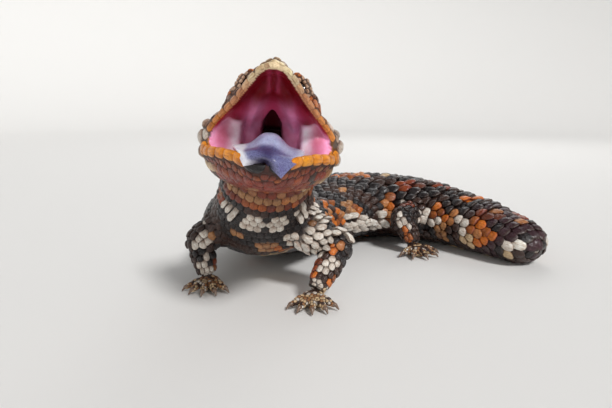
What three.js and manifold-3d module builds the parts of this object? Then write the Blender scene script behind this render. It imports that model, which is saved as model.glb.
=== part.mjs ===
// Shingleback, the stump-tailed kind of blue-tongued skink, standing with its head raised and its
// mouth wide open so that the tongue shows. Millimetres, +Z up, floor at Z = 0.
// The animal faces -Y, and its body and tail bend round to its own left, which is +X.
// Places are measured from the floor below the middle of its shoulders. At the end the whole
// animal is moved so that the origin is on the floor below the middle of its box.

import * as THREE from 'three';
import { mergeVertices } from 'three/addons/utils/BufferGeometryUtils.js';
import Module from 'manifold-3d';

const wasm = await Module();
wasm.setup();

// Driving dimensions
const gap = 0.3;                  // clearance between neighbouring solids
const upperJawTilt = 41;          // degrees that the upper jaw points above level
const lowerJawTilt = -5;          // degrees that the lower jaw points below level
const headYaw = 2.3;              // degrees that the head turns to the animal's left
const headRoll = 4.5;             // degrees that the left side of the head hangs lower
const eyeRadius = 3.6;
const tongueHalfThickness = 1.6;
const tongueRoot = 4.5;           // how much thicker the tongue is at its root, below
const tongueHump = 0.42;          // half width of its hump, in half widths of the tongue
const tongueTipArch = 0.4;        // how far the underside of its tip follows its top
const tongueSkew = 1.6;           // how much further forward its tip reaches on the left
const tongueTilt = 1.3;           // how much lower its tip hangs on the left
const palmHeight = 7;
const palmCentre = 2.2;           // height of the widest part of the palm
const toeCount = 5;
const toeLength = 5.6;
const clawLength = 2.8;
const toeStart = 0.45;            // where a toe starts inside the palm, in palm radii
const toeRoot = 0.75;             // where it leaves the palm
const toeHeights = { start: 4, knuckle: 3.7, end: 2.3, claw: 2, tip: 0.6 };
const toeRadii = { start: 2.3, knuckle: 2.2, end: 1.5, claw: 0.9, tip: 0.35 };

// Middle of the line between the two corners of the mouth
const mouthCorners = new THREE.Vector3(5.6, -30, 68.8);

// Stations of the spine from the back of the head to the end of the tail: the middle of the body
// there, then its half width and how far it reaches above and below that middle.
const spineStations = [
  { at: [6, -24, 70], girth: [18.5, 10.5, 14] },
  { at: [4.5, -17, 61], girth: [21, 13.5, 18] },
  { at: [2, -8, 50], girth: [22, 15.5, 20] },
  { at: [0, 5, 37], girth: [26, 16.5, 21.5] },
  { at: [-2, 27, 28], girth: [32, 16, 19.5] },
  { at: [3, 57, 21.5], girth: [36, 18.5, 20] },
  { at: [19, 85, 18.8], girth: [38, 21, 19.3] },
  { at: [44, 106, 18.3], girth: [37, 21.5, 18.8] },
  { at: [71.5, 110, 18], girth: [33.5, 21.5, 18.5] },
  { at: [95.5, 99, 17.4], girth: [27, 19.8, 17.9] },
  { at: [113, 80.5, 16], girth: [22, 17, 16.4] },
  { at: [125.5, 62, 14.6], girth: [19.5, 15, 15] },
  { at: [135.5, 45.5, 13], girth: [17, 12.5, 13.4] },
  { at: [143.5, 28, 11], girth: [13.2, 8.6, 11.4] },
];
const tailEndRounding = 0.6;      // stations over which the end of the tail rounds off
const tailEndMargin = 0.004;      // stations before the very end where the last ring lies

// Where the body is parted, in stations
const bodyParts = {
  neck: [0, 3],
  trunk_front: [3, 6],
  trunk_rear: [6, 9],
  tail_base: [9, 11],
  tail_end: [11, 13],
};
const halfCut = 0.006;            // half the width of a cut, in stations

// Stations of the upper head along the jaw, from behind the corners of the mouth to the snout:
// distance in front of the corners, half width, and height above the lip.
const upperHeadStations = [
  [-16, 19, 12], [-8, 24, 15], [2, 27, 16.5], [11, 24.8, 16.3], [19, 20.4, 15],
  [27, 15.4, 13], [35, 11, 10.5], [41, 7.8, 8], [44.6, 5.2, 5.6], [46.4, 1.2, 2.6],
];
const crownNarrowing = 0.3;       // how much narrower the head is at its top than at its lips
const upperLipBelow = 1.4;        // how far the upper lip reaches below the line of the jaw

// The same for the lower jaw, with its depth below the lip
const lowerJawStations = [
  [-14, 14, 15], [-7, 23, 18], [3, 27.5, 18], [13, 24.6, 15.5], [23, 19, 12.8],
  [31, 13, 9.8], [36.5, 8.4, 7], [40.4, 1.6, 3],
];
const chinSquareness = 0.82;      // below 1 the underside of the jaw is fuller at its sides
const lowerLipAbove = 1.2;
const lowerLipArch = { height: 2.4, rise: [4, 30], fall: [33, 40] };   // how it arches up in front

// The cheek scales that bulge at the corners of the mouth, along, across and above the jaw
const jowlCentre = { along: 4.5, across: 21.3, above: 0 };
const jowlRadii = { along: 8, across: 7.2, above: 7.2 };

// The hollow of the mouth in each jaw, along, across and above that jaw
const palateHollow = { centre: [17, 0, -0.5], radii: [25, 12.5, 4.6] };
const mouthFloorHollow = { centre: [14, 0, 1.5], radii: [22, 18, 6.5] };
const throatHollow = { centre: [6, 0, 0], radii: [10, 16, 9] };
const choana = { centre: [15, 0, 4], radii: [7, 3.8, 4.5] };

const eyePlace = { along: 26, across: 10.6, above: 7.8 };

// The tongue in the lower jaw: distance in front of the corners with its height in the middle and
// at the edges, then its half width on the right and on the left
const tongueStations = [
  { at: [4, -1.5, -2.5], reach: [8, 8] },
  { at: [10, 3, 0.6], reach: [11.5, 11.5] },
  { at: [16, 6.4, 2.5], reach: [13.2, 13] },
  { at: [23, 7.8, 3.4], reach: [13.4, 13] },
  { at: [29, 7.2, 3.4], reach: [12, 12.4] },
  { at: [34, 5.4, 2.4], reach: [10.4, 10.4] },
  { at: [38, 4.4, 0.6], reach: [9.4, 7.4] },
  { at: [40.6, 3.8, -1.6], reach: [8, 5] },
];
const tongueFlatter = [30, 39];   // the hump spreads out to the full width between these distances

// Legs: where each leaves the body, its elbow or knee and its ankle, the radii from the body to the
// ankle, and the foot with the way it points and how far its toes spread, in degrees
const legs = {
  foreleg_left: {
    hip: [14, -0.5, 31], knee: [35, -10.5, 22.5], ankle: [24.5, -23, 6.5],
    radii: [11.5, 9.4, 7.2, 6.6, 5],
    foot: [23, -26, 0], heading: -92, spread: 30, palm: 6,
  },
  foreleg_right: {
    hip: [-15, 7, 31], knee: [-31, 2, 22.5], ankle: [-27.5, -0.5, 6.5],
    radii: [11.5, 9.4, 7.2, 6.6, 5],
    foot: [-26, -4, 0], heading: -97, spread: 30, palm: 6,
  },
  hindleg_left: {
    hip: [90, 88, 18.5], knee: [77.5, 65, 19], ankle: [83.5, 58, 6.5],
    radii: [12, 9.8, 7.4, 6.4, 5],
    foot: [84.5, 55, 0], heading: -72, spread: 38, palm: 6.4,
  },
  hindleg_right: {
    hip: [104, 110, 18.5], knee: [111, 131, 19], ankle: [118.5, 137, 6.5],
    radii: [12, 9.8, 7.4, 6.4, 5],
    foot: [120, 140, 0], heading: 95, spread: 32, palm: 6.4,
  },
};

// How finely each kind of shape is faceted
const bodySides = 17;
const ringsPerStation = 3;
const headSides = 16;
const headRings = 11;
const tongueSides = 15;
const tongueRings = 14;
const limbSides = 8;
const toeSides = 5;
const ballFacets = [12, 8];
const palmFacets = [10, 5];
const jointFacets = [8, 6];

// Materials, one for each tissue
const tissue = {
  darkScales: new THREE.MeshStandardMaterial({ color: 0x3a2a22, roughness: 0.55, metalness: 0 }),
  headScales: new THREE.MeshStandardMaterial({ color: 0xb8622a, roughness: 0.5, metalness: 0 }),
  eye: new THREE.MeshStandardMaterial({ color: 0x120c08, roughness: 0.08, metalness: 0 }),
  tongue: new THREE.MeshStandardMaterial({ color: 0x69728f, roughness: 0.3, metalness: 0 }),
};

const up = new THREE.Vector3(0, 0, 1);
const levelLine = new THREE.Vector3(1, 0, 0);

function degrees(angle) {
  return THREE.MathUtils.degToRad(angle);
}

// A smooth curve through rows of three numbers. It serves for places and for girths.
function smoothThrough(rows) {
  const points = rows.map((row) => new THREE.Vector3(...row));
  return new THREE.CatmullRomCurve3(points, false, 'catmullrom', 0.5);
}

// A closed body becomes a solid once only the places of its corners are left
function solidFrom(geometry) {
  geometry.deleteAttribute('normal');
  geometry.deleteAttribute('uv');
  const merged = mergeVertices(geometry, 1e-4);
  const mesh = new wasm.Mesh({
    numProp: 3,
    vertProperties: new Float32Array(merged.attributes.position.array),
    triVerts: new Uint32Array(merged.index.array),
  });
  return new wasm.Manifold(mesh);
}

function namedMesh(name, solid, material) {
  const { vertProperties, triVerts } = solid.getMesh();
  const geometry = new THREE.BufferGeometry();
  geometry.setAttribute('position', new THREE.BufferAttribute(vertProperties, 3));
  geometry.setIndex(new THREE.BufferAttribute(triVerts, 1));
  geometry.computeVertexNormals();
  const mesh = new THREE.Mesh(geometry, material);
  mesh.name = name;
  return mesh;
}

// A closed solid made of rings. place(t, across, over) gives the point of the ring at t, from 0 to
// 1, where across and over lie on or inside the unit circle. Seen along the solid from its start,
// across runs to the right of over.
function loft(sides, rings, place) {
  const shape = new THREE.CylinderGeometry(1, 1, 1, sides, rings, false);
  const position = shape.attributes.position;
  for (let i = 0; i < position.count; i += 1) {
    const point = place(position.getY(i) + 0.5, position.getX(i), position.getZ(i));
    position.setXYZ(i, point.x, point.y, point.z);
  }
  return solidFrom(shape);
}

// A point beside a path, to its right by across and above it by over
function beside(centre, along, across, over, top = up) {
  const above = top.clone().addScaledVector(along, -top.dot(along)).normalize();
  const right = along.clone().cross(above);
  return centre.clone().addScaledVector(right, across).addScaledVector(above, over);
}

// A round tube through places, with a radius at each
function tube(places, radii, sides, top = up) {
  const path = smoothThrough(places);
  const thickness = smoothThrough(radii.map((radius) => [radius, 0, 0]));
  return loft(sides, places.length - 1, (t, across, over) => {
    const radius = thickness.getPoint(t).x;
    return beside(path.getPoint(t), path.getTangent(t), across * radius, over * radius, top);
  });
}

// The body

const spine = smoothThrough(spineStations.map((station) => station.at));
const girths = smoothThrough(spineStations.map((station) => station.girth));
const lastStation = spineStations.length - 1;

// Radius factor that rounds off the end of the tail
function tailRounding(station) {
  const left = (lastStation - station) / tailEndRounding;
  return left >= 1 ? 1 : Math.sqrt(1 - (1 - left) ** 2);
}

// One part of the body, with flat ends. A grown one also fills the cuts beside it.
function bodyLength(name, grow = 0) {
  const [from, to] = bodyParts[name];
  const inset = grow > 0 ? -halfCut : halfCut;
  return loft(bodySides, (to - from) * ringsPerStation, (t, across, over) => {
    const along = THREE.MathUtils.lerp(from + inset, to - inset, t);
    const station = THREE.MathUtils.clamp(along, 0, lastStation - tailEndMargin);
    const u = station / lastStation;
    const centre = spine.getPoint(u);
    const heading = spine.getTangent(u);
    const girth = girths.getPoint(u).multiplyScalar(tailRounding(station));
    const height = over > 0 ? girth.y : girth.z;
    return beside(centre, heading, across * (girth.x + grow), over * (height + grow));
  });
}

// The head: each jaw has its own axes, which meet at the corners of the mouth

function jawAxes(tilt) {
  const turn = degrees(headYaw);
  const level = new THREE.Vector3(Math.sin(turn), -Math.cos(turn), 0);
  const side = new THREE.Vector3(Math.cos(turn), Math.sin(turn), 0);
  const roll = degrees(headRoll);
  const across = side.clone().multiplyScalar(Math.cos(roll)).addScaledVector(up, -Math.sin(roll));
  const top = up.clone().multiplyScalar(Math.cos(roll)).addScaledVector(side, Math.sin(roll));
  const lift = degrees(tilt);
  const along = level.clone().multiplyScalar(Math.cos(lift)).addScaledVector(top, Math.sin(lift));
  const above = top.clone().multiplyScalar(Math.cos(lift)).addScaledVector(level, -Math.sin(lift));
  return { along, across, above };
}

const upperJaw = jawAxes(upperJawTilt);
const lowerJaw = jawAxes(lowerJawTilt);

function inJaw(axes, along, across, above) {
  return mouthCorners.clone()
    .addScaledVector(axes.along, along)
    .addScaledVector(axes.across, across)
    .addScaledVector(axes.above, above);
}

// How far the rim of the lower jaw is lifted there. The chin below it stays where it is.
function lipLift(along, over) {
  const { height, rise, fall } = lowerLipArch;
  const arch = THREE.MathUtils.smoothstep(along, ...rise) * (1 - THREE.MathUtils.smoothstep(along, ...fall));
  return height * arch * THREE.MathUtils.smoothstep(over, -1, 0);
}

// One half of the head: its rings are rounded on the outside and flat at the lips
function jawSolid(axes, stations, lip, side, grow = 0) {
  const curve = smoothThrough(stations);
  return loft(headSides, headRings, (t, across, over) => {
    const station = curve.getPoint(t);
    const [along, width, height] = [station.x, station.y + grow, station.z + grow];
    const outward = over * side;
    const reach = outward > 0 ? height : lip + grow;
    const stretch = along + grow * (2 * t - 1);
    const fullness = side > 0 ? 1 - crownNarrowing * Math.max(outward, 0) : 1;
    const squared = Math.sign(over) * Math.abs(over) ** (side > 0 ? 1 : chinSquareness);
    const lift = side > 0 ? 0 : lipLift(along, over);
    return inJaw(axes, stretch, -across * width * fullness, squared * reach + lift);
  });
}

function ellipsoid(axes, { centre, radii }) {
  const ball = new THREE.SphereGeometry(1, ...ballFacets);
  const basis = new THREE.Matrix4().makeBasis(axes.along, axes.across, axes.above);
  ball.scale(...radii);
  ball.translate(...centre);
  ball.applyMatrix4(basis);
  ball.translate(...mouthCorners);
  return solidFrom(ball);
}

function jowl(side, grow = 0) {
  const centre = [jowlCentre.along, jowlCentre.across * side, jowlCentre.above];
  const radii = [jowlRadii.along, jowlRadii.across, jowlRadii.above].map((r) => r + grow);
  return ellipsoid(upperJaw, { centre, radii });
}

function eyeball(side, grow = 0) {
  const centre = [eyePlace.along, eyePlace.across * side, eyePlace.above];
  const radius = eyeRadius + grow;
  return ellipsoid(upperJaw, { centre, radii: [radius, radius, radius] });
}

function upperHead(grow = 0) {
  return jawSolid(upperJaw, upperHeadStations, upperLipBelow, 1, grow)
    .add(jowl(1, grow))
    .add(jowl(-1, grow));
}

function headSolid() {
  return upperHead()
    .subtract(ellipsoid(upperJaw, palateHollow))
    .subtract(ellipsoid(upperJaw, throatHollow))
    .subtract(ellipsoid(upperJaw, choana))
    .subtract(eyeball(1, gap))
    .subtract(eyeball(-1, gap));
}

function lowerJawSolid() {
  return jawSolid(lowerJaw, lowerJawStations, lowerLipAbove, -1)
    .subtract(ellipsoid(lowerJaw, mouthFloorHollow))
    .subtract(ellipsoid(upperJaw, throatHollow))
    .subtract(upperHead(gap));
}

// The tongue rises to a hump in its middle, and its tip hangs over the front of the lower lip
function tongueSolid() {
  const line = smoothThrough(tongueStations.map((station) => station.at));
  const widths = smoothThrough(tongueStations.map((station) => [...station.reach, 0]));
  const tip = tongueStations.at(-1).at[0];
  const whole = loft(tongueSides, tongueRings, (t, across, over) => {
    const { x: along, y: middle, z: edge } = line.getPoint(t);
    const width = across > 0 ? widths.getPoint(t).x : widths.getPoint(t).y;
    const flat = THREE.MathUtils.smoothstep(along, ...tongueFlatter);
    const hump = Math.exp(-(Math.abs(across / tongueHump) ** 3));
    const rise = (middle - edge) * THREE.MathUtils.lerp(hump, 1 - across ** 4, flat);
    const share = THREE.MathUtils.lerp(flat * tongueTipArch, 1, (1 + over) / 2);
    const thickness = tongueHalfThickness + (over < 0 ? tongueRoot * (1 - flat) : 0);
    const leftward = -across * (along / tip) ** 3;
    const height = edge - tongueTilt * leftward + rise * share + over * thickness;
    return inJaw(lowerJaw, along + tongueSkew * leftward, -across * width, height);
  });
  const jaw = jawSolid(lowerJaw, lowerJawStations, lowerLipAbove, -1, gap)
    .subtract(ellipsoid(lowerJaw, mouthFloorHollow));
  return whole.subtract(jaw).subtract(upperHead(gap));
}

// Legs

function halfway(a, b) {
  return a.map((value, index) => (value + b[index]) / 2);
}

// Thigh or upper arm. The rings of a steep limb can't keep to up, so they keep to a level line.
function upperLimb(leg) {
  const places = [leg.hip, halfway(leg.hip, leg.knee), leg.knee];
  return tube(places, leg.radii.slice(0, 3), limbSides, levelLine);
}

// Shank or forearm, with the ball of the knee or elbow
function lowerLimb(leg, grow = 0) {
  const radii = leg.radii.slice(2).map((radius) => radius + grow);
  const places = [leg.knee, halfway(leg.knee, leg.ankle), leg.ankle];
  const ball = new THREE.SphereGeometry(radii[0], ...jointFacets);
  ball.translate(...leg.knee);
  return tube(places, radii, limbSides, levelLine).add(solidFrom(ball));
}

// A toe and its claw arch forwards and down from the palm to the floor
function toe(foot, index) {
  const turn = degrees(foot.heading + foot.spread * (index - (toeCount - 1) / 2));
  const [x, y] = foot.foot;
  const place = (reach, height) => [x + reach * Math.cos(turn), y + reach * Math.sin(turn), height];
  const start = foot.palm * toeStart;
  const end = foot.palm * toeRoot + toeLength;
  const path = [
    place(start, toeHeights.start),
    place((start + end) / 2, toeHeights.knuckle),
    place(end, toeHeights.end),
    place(end + clawLength / 2, toeHeights.claw),
    place(end + clawLength, toeHeights.tip),
  ];
  return tube(path, Object.values(toeRadii), toeSides);
}

function footSolid(leg) {
  const palm = new THREE.SphereGeometry(1, ...palmFacets);
  palm.scale(leg.palm, leg.palm, palmHeight - palmCentre);
  palm.translate(leg.foot[0], leg.foot[1], palmCentre);
  let foot = solidFrom(palm);
  for (let index = 0; index < toeCount; index += 1) {
    foot = foot.add(toe(leg, index));
  }
  return foot;
}

// What is left of a solid above the floor, without the slivers that a cut may leave beside it
function standing(solid) {
  const pieces = solid.trimByPlane([0, 0, 1], 0).decompose();
  return pieces.reduce((best, piece) => (piece.volume() > best.volume() ? piece : best));
}

// The whole animal, part by part

const skink = new THREE.Group();

function addPart(name, solid, material) {
  skink.add(namedMesh(name, standing(solid), material));
}

function addHead() {
  addPart('head', headSolid(), tissue.headScales);
  addPart('lower_jaw', lowerJawSolid(), tissue.headScales);
  addPart('tongue', tongueSolid(), tissue.tongue);
  addPart('eye_left', eyeball(1), tissue.eye);
  addPart('eye_right', eyeball(-1), tissue.eye);
}

function addBody() {
  const head = upperHead(gap).add(jawSolid(lowerJaw, lowerJawStations, lowerLipAbove, -1, gap));
  for (const name of Object.keys(bodyParts)) {
    const part = bodyLength(name);
    addPart(name, name === 'neck' ? part.subtract(head) : part, tissue.darkScales);
  }
}

function addLeg(name, leg) {
  const body = Object.keys(bodyParts)
    .map((part) => bodyLength(part, gap))
    .reduce((whole, part) => whole.add(part));
  const upper = upperLimb(leg).subtract(body).subtract(lowerLimb(leg, gap));
  const lower = lowerLimb(leg).subtract(body);
  const foot = footSolid(leg).subtract(lowerLimb(leg, gap));
  addPart(`${name}_upper`, upper, tissue.darkScales);
  addPart(`${name}_lower`, lower, tissue.darkScales);
  addPart(`${name}_foot`, foot, tissue.darkScales);
}

addHead();
addBody();
for (const [name, leg] of Object.entries(legs)) {
  addLeg(name, leg);
}

// The origin goes to the floor below the middle of the box
const middle = new THREE.Box3().setFromObject(skink).getCenter(new THREE.Vector3());
skink.position.set(-middle.x, -middle.y, 0);

export default skink;
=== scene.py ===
# Looks of the shingleback skink: one skin with the folds of its mouth, a coat of horny scales, eyes,
# tongue and claws. Shapes are worked out in millimetres from the floor below the middle of the
# shoulders, with the animal facing -Y, and are moved to the row frame as they become meshes.
import math

import bpy
import numpy as np
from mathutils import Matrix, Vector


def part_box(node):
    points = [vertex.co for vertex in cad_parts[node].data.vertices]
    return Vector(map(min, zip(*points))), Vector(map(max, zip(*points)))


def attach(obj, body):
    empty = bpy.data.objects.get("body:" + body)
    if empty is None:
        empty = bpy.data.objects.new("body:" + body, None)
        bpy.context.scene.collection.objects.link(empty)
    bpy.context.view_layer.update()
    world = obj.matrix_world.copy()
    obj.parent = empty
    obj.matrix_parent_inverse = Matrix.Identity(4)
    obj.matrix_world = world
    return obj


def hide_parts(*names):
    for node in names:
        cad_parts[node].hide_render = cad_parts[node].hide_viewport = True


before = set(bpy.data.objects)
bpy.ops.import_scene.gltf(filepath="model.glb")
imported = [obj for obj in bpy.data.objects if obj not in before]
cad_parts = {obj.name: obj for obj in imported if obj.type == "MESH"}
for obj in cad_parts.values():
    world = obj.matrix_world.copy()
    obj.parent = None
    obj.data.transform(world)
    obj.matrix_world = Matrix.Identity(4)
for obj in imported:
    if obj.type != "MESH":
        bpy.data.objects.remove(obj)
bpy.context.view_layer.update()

import openvdb
from mathutils import Euler, Vector
from mathutils.kdtree import KDTree

# Shape of the body, as the solids have it

UP = np.array([0.0, 0.0, 1.0])
LEVEL_LINE = np.array([1.0, 0.0, 0.0])
UPPER_JAW_TILT = 41
LOWER_JAW_TILT = -5
HEAD_YAW = 2.3
HEAD_ROLL = 4.5
MOUTH_CORNERS = np.array([5.6, -30.0, 68.8])
EYE_RADIUS = 3.6
EYEBALL_SHARE = 0.985                # of the eye's radius, so that the ball stays inside its solid
PUPIL_EDGE = 16                      # degrees from the middle of the eye
IRIS_EDGE = 34
EYE_PLACE = (26.0, 10.6, 7.8)        # along, across and above the upper jaw
NOSTRIL = (41.2, 6.0, 3.6)
EAR = (-9.5, 21.5, 1.5)
OPENINGS = ((NOSTRIL, 1.3), (EAR, 2.4))

# Middle of the body at each station, then its half width and its reach above and below
SPINE = np.array([
    [6, -24, 70, 18.5, 10.5, 14],
    [4.5, -17, 61, 21, 13.5, 18],
    [2, -8, 50, 22, 15.5, 20],
    [0, 5, 37, 26, 16.5, 21.5],
    [-2, 27, 28, 32, 16, 19.5],
    [3, 57, 21.5, 36, 18.5, 20],
    [19, 85, 18.8, 38, 21, 19.3],
    [44, 106, 18.3, 37, 21.5, 18.8],
    [71.5, 110, 18, 33.5, 21.5, 18.5],
    [95.5, 99, 17.4, 27, 19.8, 17.9],
    [113, 80.5, 16, 22, 17, 16.4],
    [125.5, 62, 14.6, 19.5, 15, 15],
    [135.5, 45.5, 13, 17, 12.5, 13.4],
    [143.5, 28, 11, 13.2, 8.6, 11.4],
])
LAST_STATION = len(SPINE) - 1
TAIL_END_ROUNDING = 0.6

# Jaws: distance in front of the mouth corners, half width, height or depth
UPPER_STATIONS = [
    [-16, 19, 12], [-8, 24, 15], [2, 27, 16.5], [11, 24.8, 16.3], [19, 20.4, 15],
    [27, 15.4, 13], [35, 11, 10.5], [41, 7.8, 8], [44.6, 5.2, 5.6], [46.4, 1.2, 2.6],
]
LOWER_STATIONS = [
    [-14, 14, 15], [-7, 23, 18], [3, 27.5, 18], [13, 24.6, 15.5], [23, 19, 12.8],
    [31, 13, 9.8], [36.5, 8.4, 7], [40.4, 1.6, 3],
]
CROWN_NARROWING = 0.3
UPPER_LIP_BELOW = 1.4
CHIN_SQUARENESS = 0.82
JAW_DEPTH = 15.5
JAW_ROWS = 6
JAW_SCALE = 4.3                      # width along a row of the lower jaw
LOWER_LIP_ABOVE = 1.2
LOWER_LIP_ARCH = 2.4                 # how far the lower lip arches up in front
UPPER_LIP_WIDTH = 2.6
LOWER_LIP_WIDTH = 3.4
JOWL = ((4.5, 21.3, 0), (8, 7.2, 7.2))

# Tongue in the lower jaw: distance in front of the mouth corners, height in the middle and at the
# edges, and half width on the right and on the left
TONGUE_STATIONS = [
    [4, -1.5, -2.5, 8, 8], [10, 3, 0.6, 11.5, 11.5], [16, 6.4, 2.5, 13.2, 13], [23, 7.8, 3.4, 13.4, 13],
    [29, 7.2, 3.4, 12, 12.4], [34, 5.4, 2.4, 10.4, 10.4], [38, 4.4, 0.6, 9.4, 7.4], [40.6, 3.8, -1.6, 8, 5],
]
TONGUE_HALF_THICKNESS = 1.6
TONGUE_ROOT = 4.5                    # how much thicker the tongue is at its root, below
TONGUE_HUMP = 0.42
TONGUE_SKEW = 1.6
TONGUE_TILT = 1.3

LEGS = {
    "foreleg_left": {
        "hip": (14, -0.5, 31), "knee": (35, -10.5, 22.5), "ankle": (24.5, -23, 6.5),
        "radii": (11.5, 9.4, 7.2, 6.6, 5), "foot": (23, -26), "heading": -92, "spread": 30, "palm": 6,
    },
    "foreleg_right": {
        "hip": (-15, 7, 31), "knee": (-31, 2, 22.5), "ankle": (-27.5, -0.5, 6.5),
        "radii": (11.5, 9.4, 7.2, 6.6, 5), "foot": (-26, -4), "heading": -97, "spread": 30, "palm": 6,
    },
    "hindleg_left": {
        "hip": (90, 88, 18.5), "knee": (77.5, 65, 19), "ankle": (83.5, 58, 6.5),
        "radii": (12, 9.8, 7.4, 6.4, 5), "foot": (84.5, 55), "heading": -72, "spread": 38, "palm": 6.4,
    },
    "hindleg_right": {
        "hip": (104, 110, 18.5), "knee": (111, 131, 19), "ankle": (118.5, 137, 6.5),
        "radii": (12, 9.8, 7.4, 6.4, 5), "foot": (120, 140), "heading": 95, "spread": 32, "palm": 6.4,
    },
}
PALM_HEIGHT = 7
PALM_CENTRE = 2.2
FOOT_HEIGHT = 7.5                    # below this, scales of the legs are coloured as feet
TOE_COUNT = 5
TOE_LENGTH = 5.6
CLAW_LENGTH = 2.8
CLAW_RADII = (1.15, 1.05, 0.75, 0.28)
TOE_START = 0.45                     # where toes start inside the palm, as a share of its radius
TOE_ROOT = 0.75
TOE_HEIGHTS = (4, 3.7, 2.3, 2, 0.6)
TOE_RADII = (2.3, 2.2, 1.5, 0.9)

# Depth of the coat over the skin
COAT_BACK = 1.8
COAT_BELLY = 0.8
COAT_HEAD = 1.0
COAT_LEG = 1.1
COAT_FOOT = 0.45
SKIN_ABOVE_FLOOR = 0.5

# Least height of the scales and claws over the floor
SCALE_ABOVE_FLOOR = 0.03
CLAW_ABOVE_FLOOR = 0.05

# Voxels of the field that the skin is made from
VOXEL = 0.65
BAND = 8                              # voxels on either side of a surface that have its distance
FAR = VOXEL * BAND
GRID_LOW = np.array([-46.0, -84.0, -4.0])
GRID_HIGH = np.array([160.0, 160.0, 110.0])
GRID_SHAPE = tuple(np.ceil((GRID_HIGH - GRID_LOW) / VOXEL).astype(int) + 1)

# Colours, linear
DARK = (0.016, 0.011, 0.012)
BROWN = (0.062, 0.026, 0.016)
RUST = (0.30, 0.06, 0.014)
ORANGE = (0.72, 0.20, 0.02)
TAN = (0.54, 0.27, 0.11)
CREAM = (0.80, 0.62, 0.38)
WHITE = (0.88, 0.85, 0.78)
CHIN_RED = (0.34, 0.035, 0.012)
HORN = (0.20, 0.13, 0.09)
PALETTE = {"rust": RUST, "orange": ORANGE, "tan": TAN, "cream": CREAM, "white": WHITE}

rng = np.random.default_rng(7)


# Small helpers

def unit(vectors):
    """Vectors made 1 long."""
    return vectors / np.maximum(np.linalg.norm(vectors, axis=-1, keepdims=True), 1e-9)


def step(values):
    """0 below 0, 1 above 1 and smooth between them."""
    values = np.clip(values, 0, 1)
    return values * values * (3 - 2 * values)


def bump(values, middle, width):
    """1 at the middle, falling away over the width on both sides."""
    return np.exp(-((values - middle) / width) ** 2)


def running_length(line, unit_length=1.0):
    """Length along a line of points up to each of them, in units that may change along it."""
    return np.concatenate([[0], np.cumsum(np.linalg.norm(np.diff(line, axis=0), axis=1) / unit_length)])


def smooth(rows, at):
    """Points of the smooth curve through rows, at stations counted from 0."""
    rows = np.asarray(rows, float)
    at = np.atleast_1d(np.asarray(at, float))
    padded = np.vstack([2 * rows[0] - rows[1], rows, 2 * rows[-1] - rows[-2]])
    first = np.clip(np.floor(at).astype(int), 0, len(rows) - 2)
    t = (at - first)[:, None]
    a, b, c, d = (padded[first + k] for k in range(4))
    square = 2 * a - 5 * b + 4 * c - d
    cube = 3 * b - a - 3 * c + d
    return 0.5 * (2 * b + (c - a) * t + square * t**2 + cube * t**3)


def curve_axes(path, at, top):
    """The ways above and beside a smooth curve through path, with above as near to top as it can be."""
    along = unit(smooth(path, at + 0.02) - smooth(path, at - 0.02))
    above = unit(top - along * (along @ top)[:, None])
    return above, np.cross(along, above)


def wave(points, length, seed):
    """Smooth noise from -1 to 1, with swells about length apart."""
    source = np.random.default_rng(seed)
    total = np.zeros(len(points))
    for _ in range(6):
        direction = unit(source.normal(size=3)) * source.uniform(0.7, 1.4) * 2 * math.pi / length
        total += np.sin(points @ direction + source.uniform(0, 2 * math.pi))
    return np.clip(total / 3, -1, 1)


# Surfaces of the body

def spine_axes(station):
    """The ways along the body, to its left and above it."""
    station = np.atleast_1d(station).astype(float)
    along = unit(smooth(SPINE, station + 0.01)[:, :3] - smooth(SPINE, station - 0.01)[:, :3])
    above = unit(UP - along * along[:, 2:3])
    return along, np.cross(along, above), above


def tail_rounding(station):
    """Share of the girth that is left where the tail's end is rounded off."""
    left = np.clip((LAST_STATION - station) / TAIL_END_ROUNDING, 0, 1)
    return np.sqrt(1 - (1 - left) ** 2)


def body_surface(station, angle, inset=0.0, belly_inset=None):
    """Points on the body. The angle is 0 on the back and grows towards the animal's left."""
    station = np.clip(station, 0, LAST_STATION - 0.004)
    belly_inset = inset if belly_inset is None else belly_inset
    values = smooth(SPINE, station)
    _, left, above = spine_axes(station)
    girth = values[:, 3:] * tail_rounding(station)[:, None]
    turn = np.radians(angle)
    over = np.cos(turn)
    across = np.sin(turn) * (girth[:, 0] - inset)
    height = np.where(over > 0, over * (girth[:, 1] - inset), over * (girth[:, 2] - belly_inset))
    return values[:, :3] + left * across[:, None] + above * height[:, None]


def jaw_axes(tilt):
    """The ways along, across and above a jaw that is tilted up by some degrees."""
    turn, roll, lift = np.radians([HEAD_YAW, HEAD_ROLL, tilt])
    level = np.array([math.sin(turn), -math.cos(turn), 0])
    side = np.array([math.cos(turn), math.sin(turn), 0])
    across = side * math.cos(roll) - UP * math.sin(roll)
    top = UP * math.cos(roll) + side * math.sin(roll)
    along = level * math.cos(lift) + top * math.sin(lift)
    above = top * math.cos(lift) - level * math.sin(lift)
    return np.array([along, across, above])


UPPER = jaw_axes(UPPER_JAW_TILT)
LOWER = jaw_axes(LOWER_JAW_TILT)


def in_jaw(axes, along, across, above):
    """Points from their distances along, across and above a jaw."""
    return MOUTH_CORNERS + np.stack(np.broadcast_arrays(along, across, above), -1) @ axes


def on_head(place, side):
    """The point at a place along, across and above the upper jaw, on the left or the right side."""
    along, across, above = place
    return in_jaw(UPPER, along, across * side, above)


def jaw_place(axes, points):
    """Distances of points along, across and above a jaw."""
    return np.moveaxis((points - MOUTH_CORNERS) @ axes.T, -1, 0)


def in_both_jaws(points):
    """Along, across and above the upper jaw, then the same for the lower one."""
    return *jaw_place(UPPER, points), *jaw_place(LOWER, points)


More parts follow.
